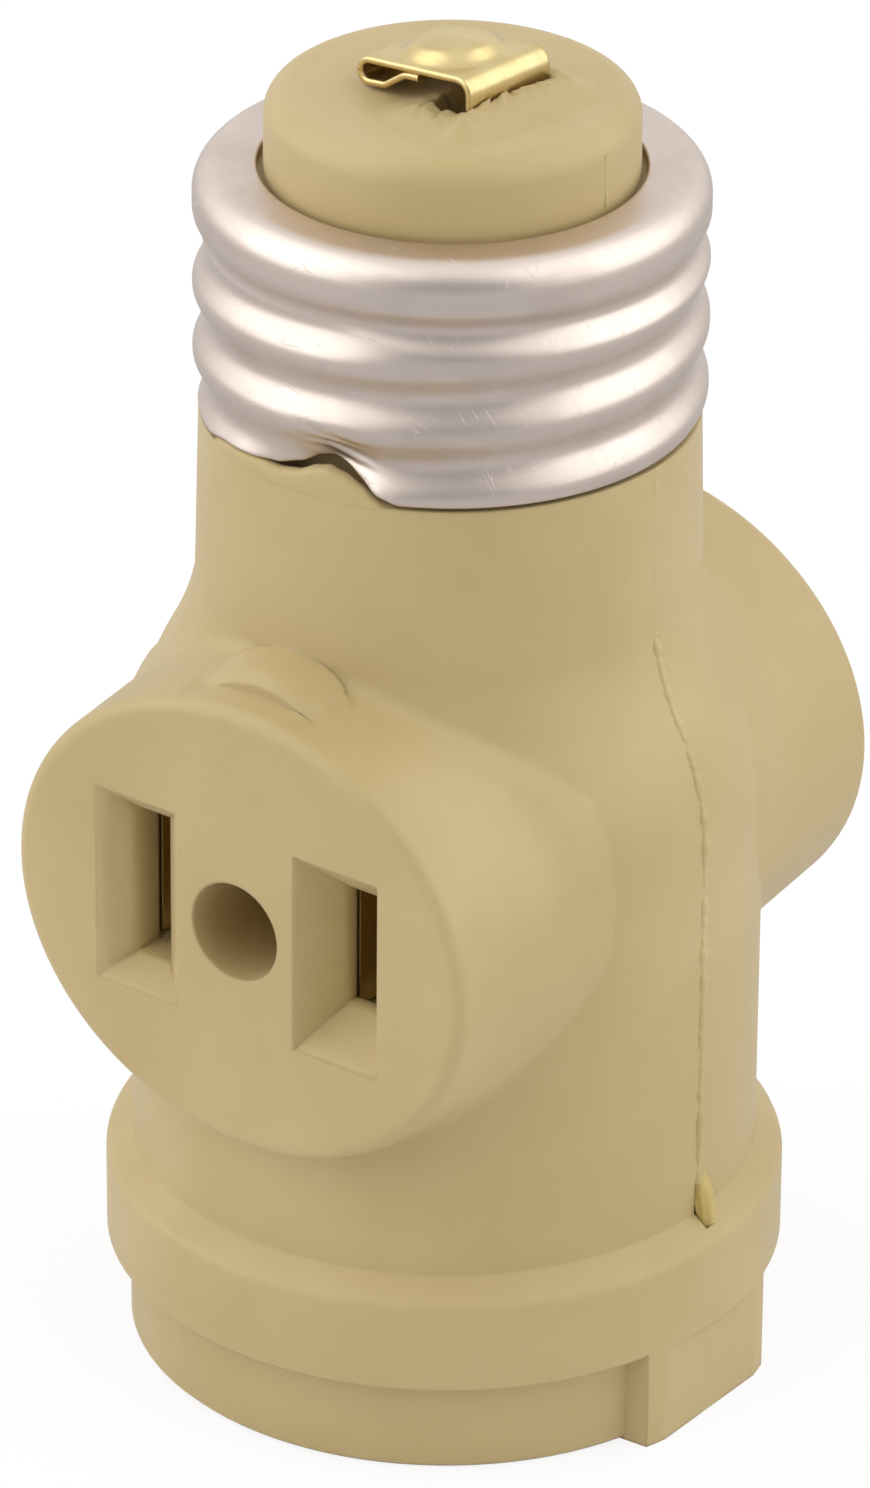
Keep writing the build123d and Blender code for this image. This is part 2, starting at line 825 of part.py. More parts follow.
# Long rivet through the middle holes of both outlets
rivet_seat = face_distance - rivet_well_depth
save(
    "housing_rivet",
    rivet(
        front_face.offset(-2 * face_distance + rivet_well_depth),
        2 * rivet_seat,
        housing_rivet_radius,
        housing_rivet_head_radius,
        housing_rivet_head,
    ),
)
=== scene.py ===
"""Looks of the lamp socket adapter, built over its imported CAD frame.

Sizes in the classes are in millimetres, and MM turns them into Blender's metres. The screw base
points along +Z, the front outlet along -Y, and the half shells meet on the plane Y = 0.
"""

import logging
import math
from dataclasses import dataclass
from enum import Enum
from typing import Callable, Optional, Sequence

import bmesh
import bpy
from mathutils import Matrix, Vector, noise


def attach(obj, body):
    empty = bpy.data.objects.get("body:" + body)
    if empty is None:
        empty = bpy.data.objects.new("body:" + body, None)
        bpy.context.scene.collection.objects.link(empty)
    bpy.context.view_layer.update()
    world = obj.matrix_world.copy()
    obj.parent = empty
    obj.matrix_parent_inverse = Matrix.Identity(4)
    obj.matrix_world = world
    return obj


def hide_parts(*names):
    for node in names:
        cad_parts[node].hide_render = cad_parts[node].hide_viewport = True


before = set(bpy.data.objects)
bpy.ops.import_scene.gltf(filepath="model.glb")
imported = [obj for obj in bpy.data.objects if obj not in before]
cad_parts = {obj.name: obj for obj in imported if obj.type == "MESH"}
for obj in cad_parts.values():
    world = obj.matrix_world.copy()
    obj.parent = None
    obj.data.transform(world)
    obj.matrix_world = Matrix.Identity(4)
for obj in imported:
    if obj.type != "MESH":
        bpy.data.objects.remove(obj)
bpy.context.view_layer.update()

MM = 0.001
BODY = "root"
PHOTO_HEIGHT = 1488
BEVEL_SAMPLES = 6
NUMBER = "NodeSocketFloat"
SHAPE = "NodeSocketGeometry"
DRESSING = "NodeSocketMaterial"
WHITE = (1.0, 1.0, 1.0, 1.0)
log = logging.getLogger("adapter")

Point = tuple[float, float]
Place = tuple[float, float, float]
Colour = tuple[float, float, float]


@dataclass(frozen=True)
class Plan:
    """Main sizes of the adapter that several of its pieces share."""

    neck_radius: float = 12.8
    shoulder: float = 53.45
    outlet_height: float = 30.5
    shell_sheet: float = 0.35
    ring_groove: float = 63.1
    thread_pitch: float = 25.4 / 7
    nub_top: float = 70.8
    socket_depth: float = 21.9


PLAN = Plan()


class Lay(Enum):
    """Way in which the fine lines of a metal run."""

    ROUND = "round the axis, as a roller leaves them"
    ALONG = "along the strip, as a press leaves them"


class Bench:
    """Adds the nodes of one tree, sets their sockets and links them."""

    def __init__(self, tree: bpy.types.NodeTree) -> None:
        """Takes the tree to work on."""
        self.tree = tree

    def feed(self, socket: bpy.types.NodeSocket, value: object) -> None:
        """Links a socket to an output, or sets it to a constant.

        Args:
            socket: The input to feed.
            value: An output socket, or a constant.
        """
        if isinstance(value, bpy.types.NodeSocket):
            self.tree.links.new(value, socket)
        else:
            socket.default_value = value

    def node(self, kind: str, inputs: Optional[dict] = None, **settings: object) -> bpy.types.Node:
        """Adds a node.

        Args:
            kind: The node's type.
            inputs: What its sockets get, by name or by number.
            settings: What its properties get.

        Returns:
            The new node.
        """
        node = self.tree.nodes.new(kind)
        for name, value in settings.items():
            setattr(node, name, value)
        for key, value in (inputs or {}).items():
            self.feed(node.inputs[key], value)
        return node

    def math(self, operation: str, *values: object) -> bpy.types.NodeSocket:
        """Adds a sum, product or function of one to three values and returns its result."""
        node = self.node("ShaderNodeMath", dict(enumerate(values)), operation=operation)
        return node.outputs[0]

    def vector(self, operation: str, *values: object) -> bpy.types.NodeSocket:
        """Adds a vector sum or product and returns its result."""
        node = self.node("ShaderNodeVectorMath", dict(enumerate(values)), operation=operation)
        return node.outputs[0]

    def stretched(self, vector: bpy.types.NodeSocket, factor: object) -> bpy.types.NodeSocket:
        """Adds a vector times a number and returns its result."""
        node = self.node("ShaderNodeVectorMath", {0: vector, 3: factor}, operation="SCALE")
        return node.outputs[0]

    def ramp(
        self, value: object, low: object, high: object, start: object = 0.0, end: object = 1.0
    ) -> bpy.types.NodeSocket:
        """Adds a smooth change of a value between two limits.

        Args:
            value: What changes.
            low: The value at which the change starts.
            high: The value at which the change ends.
            start: The result up to the low limit.
            end: The result from the high limit.

        Returns:
            The output that holds the result.
        """
        node = self.node(
            "ShaderNodeMapRange",
            {"Value": value, "From Min": low, "From Max": high, "To Min": start, "To Max": end},
            interpolation_type="SMOOTHSTEP",
        )
        return node.outputs["Result"]

    def blend(self, factor: object, first: object, second: object) -> bpy.types.NodeSocket:
        """Adds a mix of two colours and returns its result."""
        node = self.node("ShaderNodeMix", data_type="RGBA")
        for index, value in ((0, factor), (6, first), (7, second)):
            self.feed(node.inputs[index], value)
        return node.outputs[2]

    def cloud(self, vector: object, scale: object, detail: float = 2.0) -> bpy.types.NodeSocket:
        """Adds a noise pattern and returns its value from 0 to 1."""
        node = self.node("ShaderNodeTexNoise", {"Vector": vector, "Scale": scale, "Detail": detail})
        return node.outputs[0]

    def sized_cloud(self, vector: object, size: object, detail: float) -> bpy.types.NodeSocket:
        """Adds a noise pattern whose patches have a given size in metres."""
        return self.cloud(vector, self.math("DIVIDE", 1.0, size), detail)

    def dressed(self, geometry: object, finish: object) -> bpy.types.NodeSocket:
        """Adds the end of a piece's tree, which makes instances real and sets the material.

        Args:
            geometry: What the tree has made so far.
            finish: The material.

        Returns:
            The output with the finished geometry.
        """
        whole = self.node("GeometryNodeRealizeInstances", {0: geometry}).outputs[0]
        return self.node("GeometryNodeSetMaterial", {"Geometry": whole, "Material": finish}).outputs[0]


def new_tree(name: str, kind: str, inputs: dict, outputs: dict) -> tuple[Bench, dict, bpy.types.Node]:
    """Makes an empty node group with named sockets.

    Args:
        name: The group's name.
        kind: Its tree type.
        inputs: Socket type and default of each input, by name.
        outputs: Socket type of each output, by name.

    Returns:
        The bench of the tree, its input sockets by name, and its output node.
    """
    tree = bpy.data.node_groups.new(name, kind)
    for label, (socket_type, default) in inputs.items():
        socket = tree.interface.new_socket(label, in_out="INPUT", socket_type=socket_type)
        if default is not None:
            socket.default_value = default
    for label, socket_type in outputs.items():
        tree.interface.new_socket(label, in_out="OUTPUT", socket_type=socket_type)
    bench = Bench(tree)
    entry = bench.node("NodeGroupInput")
    return bench, dict(entry.outputs.items()), bench.node("NodeGroupOutput")


class Effects:
    """Shader effects that several finishes share, each a node group that is built once."""

    ROUND_STRETCH = 0.0006
    LONG_STRETCH = 0.05
    BAND_SHARE = 0.15
    SCRATCH_WAYS = (((0.4, 0.9, 0.3), 9.0), ((1.3, -0.5, 0.8), 7.0))

    @staticmethod
    def group(name: str, build: Callable[[str], None]) -> bpy.types.NodeTree:
        """Returns a node group, built at its first use.

        Args:
            name: The group's name.
            build: What builds it.

        Returns:
            The group.
        """
        if name not in bpy.data.node_groups:
            build(name)
        return bpy.data.node_groups[name]

    @staticmethod
    def moulding(name: str) -> None:
        """Builds the skin of a moulded or pressed piece: fine grain, slow waves and cloudy colour.

        Args:
            name: The group's name.
        """
        bench, given, result = new_tree(
            name,
            "ShaderNodeTree",
            {"Grain": (NUMBER, 0.0003), "Wave": (NUMBER, 0.006), "Cloud": (NUMBER, 0.012)},
            {"Grain Height": NUMBER, "Wave Height": NUMBER, "Cloud Mask": NUMBER},
        )
        place = bench.node("ShaderNodeTexCoord").outputs["Object"]
        cloud = bench.sized_cloud(place, given["Cloud"], detail=4.0)
        bench.feed(result.inputs["Grain Height"], bench.sized_cloud(place, given["Grain"], detail=3.0))
        bench.feed(result.inputs["Wave Height"], bench.sized_cloud(place, given["Wave"], detail=1.0))
        bench.feed(result.inputs["Cloud Mask"], bench.ramp(cloud, low=0.35, high=0.65))

    @staticmethod
    def tool_lines(name: str) -> None:
        """Builds the fine lines that rolling or pressing leaves on sheet metal.

        Args:
            name: The group's name.
        """
        bench, given, result = new_tree(
            name,
            "ShaderNodeTree",
            {"Spacing": (NUMBER, 0.0002), "Round": (NUMBER, 1.0)},
            {"Line Height": NUMBER, "Band Mask": NUMBER},
        )
        place = bench.node("ShaderNodeTexCoord").outputs["Object"]
        x, y, z = bench.node("ShaderNodeSeparateXYZ", {0: place}).outputs
        reach = bench.math("SQRT", bench.math("ADD", *(bench.math("POWER", axis, 2.0) for axis in (x, y))))
        round_run = bench.math("MULTIPLY", bench.math("ARCTAN2", y, x), Effects.ROUND_STRETCH)
        long_run = bench.math("MULTIPLY", x, Effects.LONG_STRETCH)
        turned = bench.node("ShaderNodeCombineXYZ", {0: round_run, 1: z, 2: reach})
        straight = bench.node("ShaderNodeCombineXYZ", {0: long_run, 1: y, 2: z})
        run = bench.node("ShaderNodeMix", data_type="VECTOR")
        for index, value in ((0, given["Round"]), (4, straight.outputs[0]), (5, turned.outputs[0])):
            bench.feed(run.inputs[index], value)
        fine = bench.sized_cloud(run.outputs[1], given["Spacing"], detail=3.0)
        broad = bench.cloud(run.outputs[1], bench.math("DIVIDE", Effects.BAND_SHARE, given["Spacing"]))
        bench.feed(result.inputs["Line Height"], fine)
        bench.feed(result.inputs["Band Mask"], bench.ramp(broad, low=0.3, high=0.7))

    @staticmethod
    def handling(name: str) -> None:
        """Builds hairline scratches and dull smudges from handling.

        Args:
            name: The group's name.
        """
        bench, given, result = new_tree(
            name,
            "ShaderNodeTree",
            {"Scratch Spread": (NUMBER, 0.004), "Smudge Size": (NUMBER, 0.005)},
            {"Scratch Mask": NUMBER, "Smudge Mask": NUMBER},
        )
        place = bench.node("ShaderNodeTexCoord").outputs["Object"]
        masks = []
        for turn, stretch in Effects.SCRATCH_WAYS:
            mapped = bench.node(
                "ShaderNodeMapping",
                {"Vector": place, "Rotation": turn, "Scale": (1.0, stretch, 1.0)},
            ).outputs[0]
            lines = bench.node(
                "ShaderNodeTexVoronoi",
                {"Vector": mapped, "Scale": bench.math("DIVIDE", 1.0, given["Scratch Spread"])},
                feature="DISTANCE_TO_EDGE",
            ).outputs["Distance"]
            hairline = bench.ramp(lines, low=0.0, high=0.02, start=1.0, end=0.0)
            broken = bench.ramp(bench.cloud(mapped, scale=450.0), low=0.56, high=0.66)
            masks.append(bench.math("MULTIPLY", hairline, broken))
        bench.feed(result.inputs["Scratch Mask"], bench.math("MAXIMUM", *masks))
        smudge = bench.sized_cloud(place, given["Smudge Size"], detail=4.0)
        bench.feed(result.inputs["Smudge Mask"], bench.ramp(smudge, low=0.4, high=0.7))


@dataclass(frozen=True)
class Finish:
    """Base of the finishes: a name, and a Principled shader to dress."""

    name: str

    def start(self, metallic: float, **constants: object) -> tuple[bpy.types.Material, Bench, bpy.types.Node]:
        """Makes an empty material with its shader.

        Args:
            metallic: 1 for a metal, 0 for anything else.
            constants: Values of the shader's own sockets, with underscores for spaces.

        Returns:
            The material, the bench of its tree, and its Principled shader.
        """
        material = bpy.data.materials.new(self.name)
        material.use_nodes = True
        shader = material.node_tree.nodes["Principled BSDF"]
        shader.inputs["Metallic"].default_value = metallic
        for label, value in constants.items():
            shader.inputs[label.replace("_", " ")].default_value = value
        return material, Bench(material.node_tree), shader

    def relief(
        self, bench: Bench, shader: bpy.types.Node, edge: object, layers: Sequence[tuple[object, float]]
    ) -> None:
        """Gives the shader soft edges and one bump for each layer of relief.

        Args:
            bench: The bench of the material's tree.
            shader: The shader whose normal is set.
            edge: Radius of the softened edges in metres, as a constant or an output.
            layers: Height and depth in millimetres of each layer.
        """
        normal = bench.node("ShaderNodeBevel", {"Radius": edge}, samples=BEVEL_SAMPLES).outputs[0]
        for height, depth in layers:
            bump = bench.node(
                "ShaderNodeBump", {"Distance": depth * MM, "Height": height, "Normal": normal}
            )
            normal = bump.outputs[0]
        bench.feed(shader.inputs["Normal"], normal)


@dataclass(frozen=True)
class Moulding(Finish):
    """Moulded plastic, or a pressed fibre disc, with a faint grain and cloudy colour.

    Its edges are soft, apart from a band along the plane of the seam, which stays crisp.
    """

    light: Colour
    dark: Colour
    roughness: float
    rougher: float = 0.05
    smoother: float = 0.04
    grain: float = 0.28
    grain_depth: float = 0.006
    wave: float = 5.0
    wave_depth: float = 0.05
    cloud: float = 11.0
    edge: float = 0.25
    seam_edge: float = 0.03
    band_start: float = 0.4
    band_end: float = 1.2
    sheen: float = 0.1
    glow: float = 0.0
    glow_depth: float = 0.7
    glow_colour: Colour = (1.0, 0.7, 0.35)

    def material(self) -> bpy.types.Material:
        """Builds the finish.

        Returns:
            The new material.
        """
        material, bench, shader = self.start(
            0.0, IOR=1.5, Subsurface_Weight=self.glow, Sheen_Weight=self.sheen
        )
        if self.glow:
            shader.inputs["Subsurface Scale"].default_value = self.glow_depth * MM
            shader.inputs["Subsurface Radius"].default_value = self.glow_colour
        skin = bench.node("ShaderNodeGroup", node_tree=Effects.group("moulded_skin", Effects.moulding))
        for label, size in (("Grain", self.grain), ("Wave", self.wave), ("Cloud", self.cloud)):
            skin.inputs[label].default_value = size * MM
        colour = bench.blend(skin.outputs["Cloud Mask"], (*self.dark, 1.0), (*self.light, 1.0))
        bench.feed(shader.inputs["Base Color"], colour)
        dull = bench.ramp(
            skin.outputs["Grain Height"],
            low=0.3,
            high=0.7,
            start=self.roughness + self.rougher,
            end=self.roughness - self.smoother,
        )
        bench.feed(shader.inputs["Roughness"], dull)
        place = bench.node("ShaderNodeTexCoord").outputs["Object"]
        off_seam = bench.math("ABSOLUTE", bench.node("ShaderNodeSeparateXYZ", {0: place}).outputs[1])
        edge = bench.ramp(
            off_seam,
            low=self.band_start * MM,
            high=self.band_end * MM,
            start=min(self.edge, self.seam_edge) * MM,
            end=self.edge * MM,
        )
        layers = [
            (skin.outputs["Wave Height"], self.wave_depth),
            (skin.outputs["Grain Height"], self.grain_depth),
        ]
        self.relief(bench, shader, edge, layers)
        return material


@dataclass(frozen=True)
class SheetMetal(Finish):
    """Rolled or pressed sheet metal with tool lines, hairline scratches and smudges."""

    clean: Colour
    dull: Colour
    roughness: float
    lay: Lay
    line_spacing: float = 0.16
    line_depth: float = 0.004
    soiling: float = 0.6
    streaks: float = 0.35
    soiled_roughness: float = 0.12
    scratch: float = 0.25
    scratch_depth: float = 0.004
    edge: float = 0.08

    def material(self) -> bpy.types.Material:
        """Builds the finish.

        Returns:
            The new material.
        """
        material, bench, shader = self.start(1.0)
        lines = bench.node("ShaderNodeGroup", node_tree=Effects.group("tool_lines", Effects.tool_lines))
        lines.inputs["Spacing"].default_value = self.line_spacing * MM
        lines.inputs["Round"].default_value = 1.0 if self.lay is Lay.ROUND else 0.0
        wear = bench.node("ShaderNodeGroup", node_tree=Effects.group("handling", Effects.handling))
        soiled = bench.math("MULTIPLY", wear.outputs["Smudge Mask"], self.soiling)
        streaked = bench.math("MULTIPLY", lines.outputs["Band Mask"], self.streaks)
        mask = bench.math("MAXIMUM", soiled, streaked)
        colour = bench.blend(mask, (*self.clean, 1.0), (*self.dull, 1.0))
        bench.feed(shader.inputs["Base Color"], colour)
        rough = bench.math("MULTIPLY_ADD", mask, self.soiled_roughness, self.roughness)
        scratched = bench.math("MULTIPLY_ADD", wear.outputs["Scratch Mask"], self.scratch, rough)
        bench.feed(shader.inputs["Roughness"], scratched)
        layers = [
            (lines.outputs["Line Height"], self.line_depth),
            (wear.outputs["Scratch Mask"], -self.scratch_depth),
        ]
        self.relief(bench, shader, self.edge * MM, layers)
        return material


def corner_arc(
    before: Point, corner: Point, after: Point, radius: float, step: float, fewest: int = 5
) -> list[Point]:
    """Rounds one corner of a line.

    Args:
        before: The point before the corner.
        corner: The corner.
        after: The point after it.
        radius: Radius of the round, 0 for a sharp corner.
        step: Longest distance between the points of the round.
        fewest: Fewest steps of a round.

    Returns:
        The points of the round, or the corner itself.
    """
    if radius <= 0:
        return [corner]
    point = Vector(corner)
    back = (Vector(before) - point).normalized()
    ahead = (Vector(after) - point).normalized()
    half = back.angle(ahead) / 2
    centre = point + (back + ahead).normalized() * radius / math.sin(half)
    first = point + back * radius / math.tan(half) - centre
    last = point + ahead * radius / math.tan(half) - centre
    sweep = first.angle_signed(last)
    count = max(fewest, math.ceil(abs(sweep) * radius / step))
    return [tuple(centre + Matrix.Rotation(-sweep * i / count, 2) @ first) for i in range(count + 1)]


def rounded(
    points: Sequence[Point], radii: Sequence[float], step: float, closed: bool = False
) -> list[Point]:
    """Rounds the corners of a line and divides its runs.

    Args:
        points: The corners.
        radii: Radius at each point; those of the two ends of an open line are not used.
        step: Longest distance between neighbouring points of the result.
        closed: Whether the line returns to its start.

    Returns:
        The points of the finished line.
    """
    count = len(points)
    corners: list[Point] = []
    for index, point in enumerate(points):
        if closed or 0 < index < count - 1:
            before, after = points[index - 1], points[(index + 1) % count]
            corners += corner_arc(before, point, after, radii[index], step)
        else:
            corners.append(point)
    if closed:
        corners.append(corners[0])
    line: list[Point] = []
    for first, last in zip(corners, corners[1:]):
        pieces = max(1, math.ceil((Vector(last) - Vector(first)).length / step))
        line += [tuple(Vector(first).lerp(Vector(last), i / pieces)) for i in range(pieces)]
    return line if closed else line + [corners[-1]]


def smoothstep(value: float) -> float:
    """Eases a value between 0 and 1."""
    value = min(1.0, max(0.0, value))
    return value * value * (3 - 2 * value)


def turn_of(point: Vector) -> float:
    """Returns the turn of a point about the lamp axis, from 0 to 360 degrees."""
    return math.degrees(math.atan2(point.y, point.x)) % 360


def between(first: Vector, last: Vector, steps: int) -> list[Vector]:
    """Returns the points that divide the way between two points into equal steps, ends included."""
    return [first.lerp(last, index / steps) for index in range(steps + 1)]


def refine(
    work: bmesh.types.BMesh, longest: float, chosen: Callable[[Vector, Vector], bool], rounds: int = 5
) -> None:
    """Halves the long edges of a region of a mesh until they are short enough.

    Args:
        work: The mesh.
        longest: Length in millimetres that an edge may keep.
        chosen: Tells from the ends of an edge, in metres, whether it belongs to the region.
        rounds: How often the edges are halved at most.
    """
    for _ in range(rounds):
        long_edges = [
            edge
            for edge in work.edges
            if edge.calc_length() > longest * MM and chosen(edge.verts[0].co, edge.verts[1].co)
        ]
        if not long_edges:
            break
        bmesh.ops.subdivide_edges(work, edges=long_edges, cuts=1)
        bmesh.ops.triangulate(work, faces=[face for face in work.faces if len(face.verts) > 4])


def shade(work: bmesh.types.BMesh, crease: float) -> None:
    """Smooths a mesh, apart from the edges that bend by at least the crease in degrees."""
    for edge in work.edges:
        edge.smooth = edge.calc_face_angle(0.0) < math.radians(crease)
    for face in work.faces:
        face.smooth = True


def mesh_of(
    name: str,
    vertices: Sequence[Sequence[float]],
    edges: Sequence[Sequence[int]] = (),
    faces: Sequence[Sequence[int]] = (),
) -> bpy.types.Mesh:
    """Makes a mesh from points in millimetres.

    Args:
        name: The mesh's name.
        vertices: Its points.
        edges: Its loose edges, as numbers of points.
        faces: Its faces, as numbers of points.

    Returns:
        The new mesh.
    """
    mesh = bpy.data.meshes.new(name)
    mesh.from_pydata([tuple(value * MM for value in vertex) for vertex in vertices], edges, faces)
    return mesh


def place_object(name: str, data: bpy.types.ID) -> bpy.types.Object:
    """Makes an object of a mesh, a lamp or a camera, linked to the scene.

    Args:
        name: The object's name.
        data: What it shows.

    Returns:
        The new object.
    """
    made = bpy.data.objects.new(name, data)
    bpy.context.scene.collection.objects.link(made)
    return made


def object_of(name: str, work: bmesh.types.BMesh) -> bpy.types.Object:
    """Makes an object of a mesh in work and frees it.

    Args:
        name: The object's name.
        work: The mesh in work.

    Returns:
        The new object, linked to the scene.
    """
    mesh = bpy.data.meshes.new(name)
    work.to_mesh(mesh)
    work.free()
    return place_object(name, mesh)


def finish_mesh(
    name: str,
    vertices: Sequence[Sequence[float]],
    faces: Sequence[Sequence[int]],
    crease: float = 40.0,
    merge: float = 0.0001,
) -> bpy.types.Object:
    """Makes an object of a closed mesh that is given in millimetres.

    Args:
        name: The object's name.
        vertices: Its points.
        faces: Its faces, as numbers of points.
        crease: Angle in degrees from which an edge stays sharp.
        merge: Distance under which points become one.

    Returns:
        The new object, linked to the scene.
    """
    mesh = mesh_of(name, vertices, faces=faces)
    work = bmesh.new()
    work.from_mesh(mesh)
    bmesh.ops.remove_doubles(work, verts=work.verts, dist=merge * MM)
    bmesh.ops.recalc_face_normals(work, faces=work.faces)
    shade(work, crease)
    work.to_mesh(mesh)
    work.free()
    return place_object(name, mesh)


def lathe(
    name: str,
    loop: Sequence[Point],
    steps: int,
    place: Optional[Callable[[float, float, float], Point]] = None,
) -> bpy.types.Object:
    """Turns a closed outline about the lamp axis.

    Args:
        name: The object's name.
        loop: Radius and height of the outline's points.
        steps: Number of steps round the axis.
        place: Moves a point, from its turn in degrees, radius and height, to a radius and height.

    Returns:
        The new object.
    """
    vertices, faces = [], []
    count = len(loop)
    for step in range(steps):
        turn = 2 * math.pi * step / steps
        for radius, height in loop:
            if place:
                radius, height = place(math.degrees(turn), radius, height)
            vertices.append((radius * math.cos(turn), radius * math.sin(turn), height))
    for step in range(steps):
        here, there = step * count, (step + 1) % steps * count
        for index in range(count):
            after = (index + 1) % count
            faces.append((here + index, there + index, there + after, here + after))
    return finish_mesh(name, vertices, faces)


def tube(name: str, rings: Sequence[Sequence[Place]], crease: float = 40.0) -> bpy.types.Object:
    """Joins rings of points into a closed body with flat ends.

    Args:
        name: The object's name.
        rings: Points of each ring, as many in each and in the same order.
        crease: Angle in degrees from which an edge stays sharp.

    Returns:
        The new object.
    """
    size, last = len(rings[0]), len(rings) - 1
    faces = []
    for here in range(0, last * size, size):
        there = here + size
        for index in range(size):
            after = (index + 1) % size
            faces.append((here + index, here + after, there + after, there + index))
    faces.append(tuple(range(size)))
    faces.append(tuple(reversed(range(last * size, (last + 1) * size))))
    return finish_mesh(name, [point for ring in rings for point in ring], faces, crease)


def settle(piece: bpy.types.Object, tree: bpy.types.NodeTree, values: dict) -> None:
    """Runs a Geometry Nodes tree on a piece and keeps the result as its plain mesh.

    Args:
        piece: The object.
        tree: The tree.
        values: What the tree's inputs get, by socket name.
    """
    modifier = piece.modifiers.new(tree.name, "NODES")
    modifier.node_group = tree
    for socket in tree.interface.items_tree:
        if socket.item_type == "SOCKET" and socket.in_out == "INPUT" and socket.name in values:
            modifier[socket.identifier] = values[socket.name]
    keep_result(piece)


def keep_result(piece: bpy.types.Object) -> None:
    """Turns what a piece's modifiers make into its plain mesh and removes them.

    Args:
        piece: The object.
    """
    evaluated = piece.evaluated_get(bpy.context.evaluated_depsgraph_get())
    mesh = bpy.data.meshes.new_from_object(evaluated)
    piece.modifiers.clear()
    piece.data = mesh


def register(piece: bpy.types.Object, slot: str, *nodes: str) -> None:
    """Joins a finished piece to the part's body, hides the CAD nodes that it replaces and reports it.

    Args:
        piece: The finished object.
        slot: Not used.
        nodes: CAD nodes that it replaces.
    """
    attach(piece, BODY)
    if nodes:
        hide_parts(*nodes)
    heights = [corner[2] / MM for corner in piece.bound_box]
    count = len(piece.data.polygons)
    log.info("%s: %d faces, z %.1f to %.1f mm", piece.name, count, min(heights), max(heights))


def dress(piece: bpy.types.Object, material: bpy.types.Material) -> None:
    """Gives a piece one material."""
    piece.data.materials.clear()
    piece.data.materials.append(material)


@dataclass
class Flare:
    """Line of the housing's wall from the body up to the neck.

    The photograph shows the flare higher up than the solids have it, so the scene lifts it.
    """

    body_radius: float = 16.4
    neck_radius: float = PLAN.neck_radius
    start: float = 30.0
    end: float = 44.0
    lift: float = 2.5
    above: float = 1.0
    touch: float = 0.05
    reach: float = 2.2
    longest_edge: float = 0.8
    face_distance: float = 18.0
    face_height: float = PLAN.outlet_height
    face_half_width: float = 14.2
    face_half_height: float = 12.45
    boss_spread: float = 1.5
    boss_touch: float = 0.96

    def radius(self, height: float, lift: float = 0.0) -> float:
        """Works out the radius of the wall.

        Args:
            height: The level on it.
            lift: How far the flare is lifted.

        Returns:
            The radius.
        """
        level = min(self.end, max(self.start, height - lift))
        run = (self.end - self.start) / 2
        drop = (self.body_radius - self.neck_radius) / 2
        bend = (run**2 + drop**2) / (2 * drop)
        if level < self.start + run:
            return self.body_radius - bend + math.sqrt(bend**2 - (level - self.start) ** 2)
        return self.neck_radius + bend - math.sqrt(bend**2 - (self.end - level) ** 2)

    def on_wall(self, point: Vector) -> bool:
        """Tells whether a point lies on the solids' wall, where the flare changes.

        Args:
            point: The point, in metres.

        Returns:
            Whether it does.
        """
        height = point.z / MM
        near = abs(math.hypot(point.x, point.y) / MM - self.radius(height)) < self.touch
        return near and self.start < height < self.end + self.lift + self.above

    def on_boss(self, point: Vector) -> bool:
        """Tells whether a point lies on the outside of an outlet's boss.

        Args:
            point: The point, in metres.

        Returns:
            Whether it does.
        """
        spread = self.boss_spread * (1 - abs(point.y) / MM / self.face_distance)
        across = point.x / MM / (self.face_half_width + spread)
        along = (point.z / MM - self.face_height) / (self.face_half_height + spread)
        return math.hypot(across, along) > self.boss_touch

    def fill_out(self, work: bmesh.types.BMesh) -> None:
        """Lifts the flare of a half shell.

        Args:
            work: The mesh of the half shell.
        """
        refine(work, self.longest_edge, lambda one, other: all(map(self.on_wall, between(one, other, 2))))
        for vert in work.verts:
            height, reach = vert.co.z / MM, math.hypot(vert.co.x, vert.co.y) / MM
            old, new = self.radius(height), self.radius(height, self.lift)
            if self.on_wall(vert.co):
                share = new / reach
            elif old < reach < old + self.reach and self.on_boss(vert.co):
                share = 1 + (new - old) * (1 - smoothstep((reach - old) / self.reach)) / reach
            else:
                continue
            vert.co.x *= share
            vert.co.y *= share


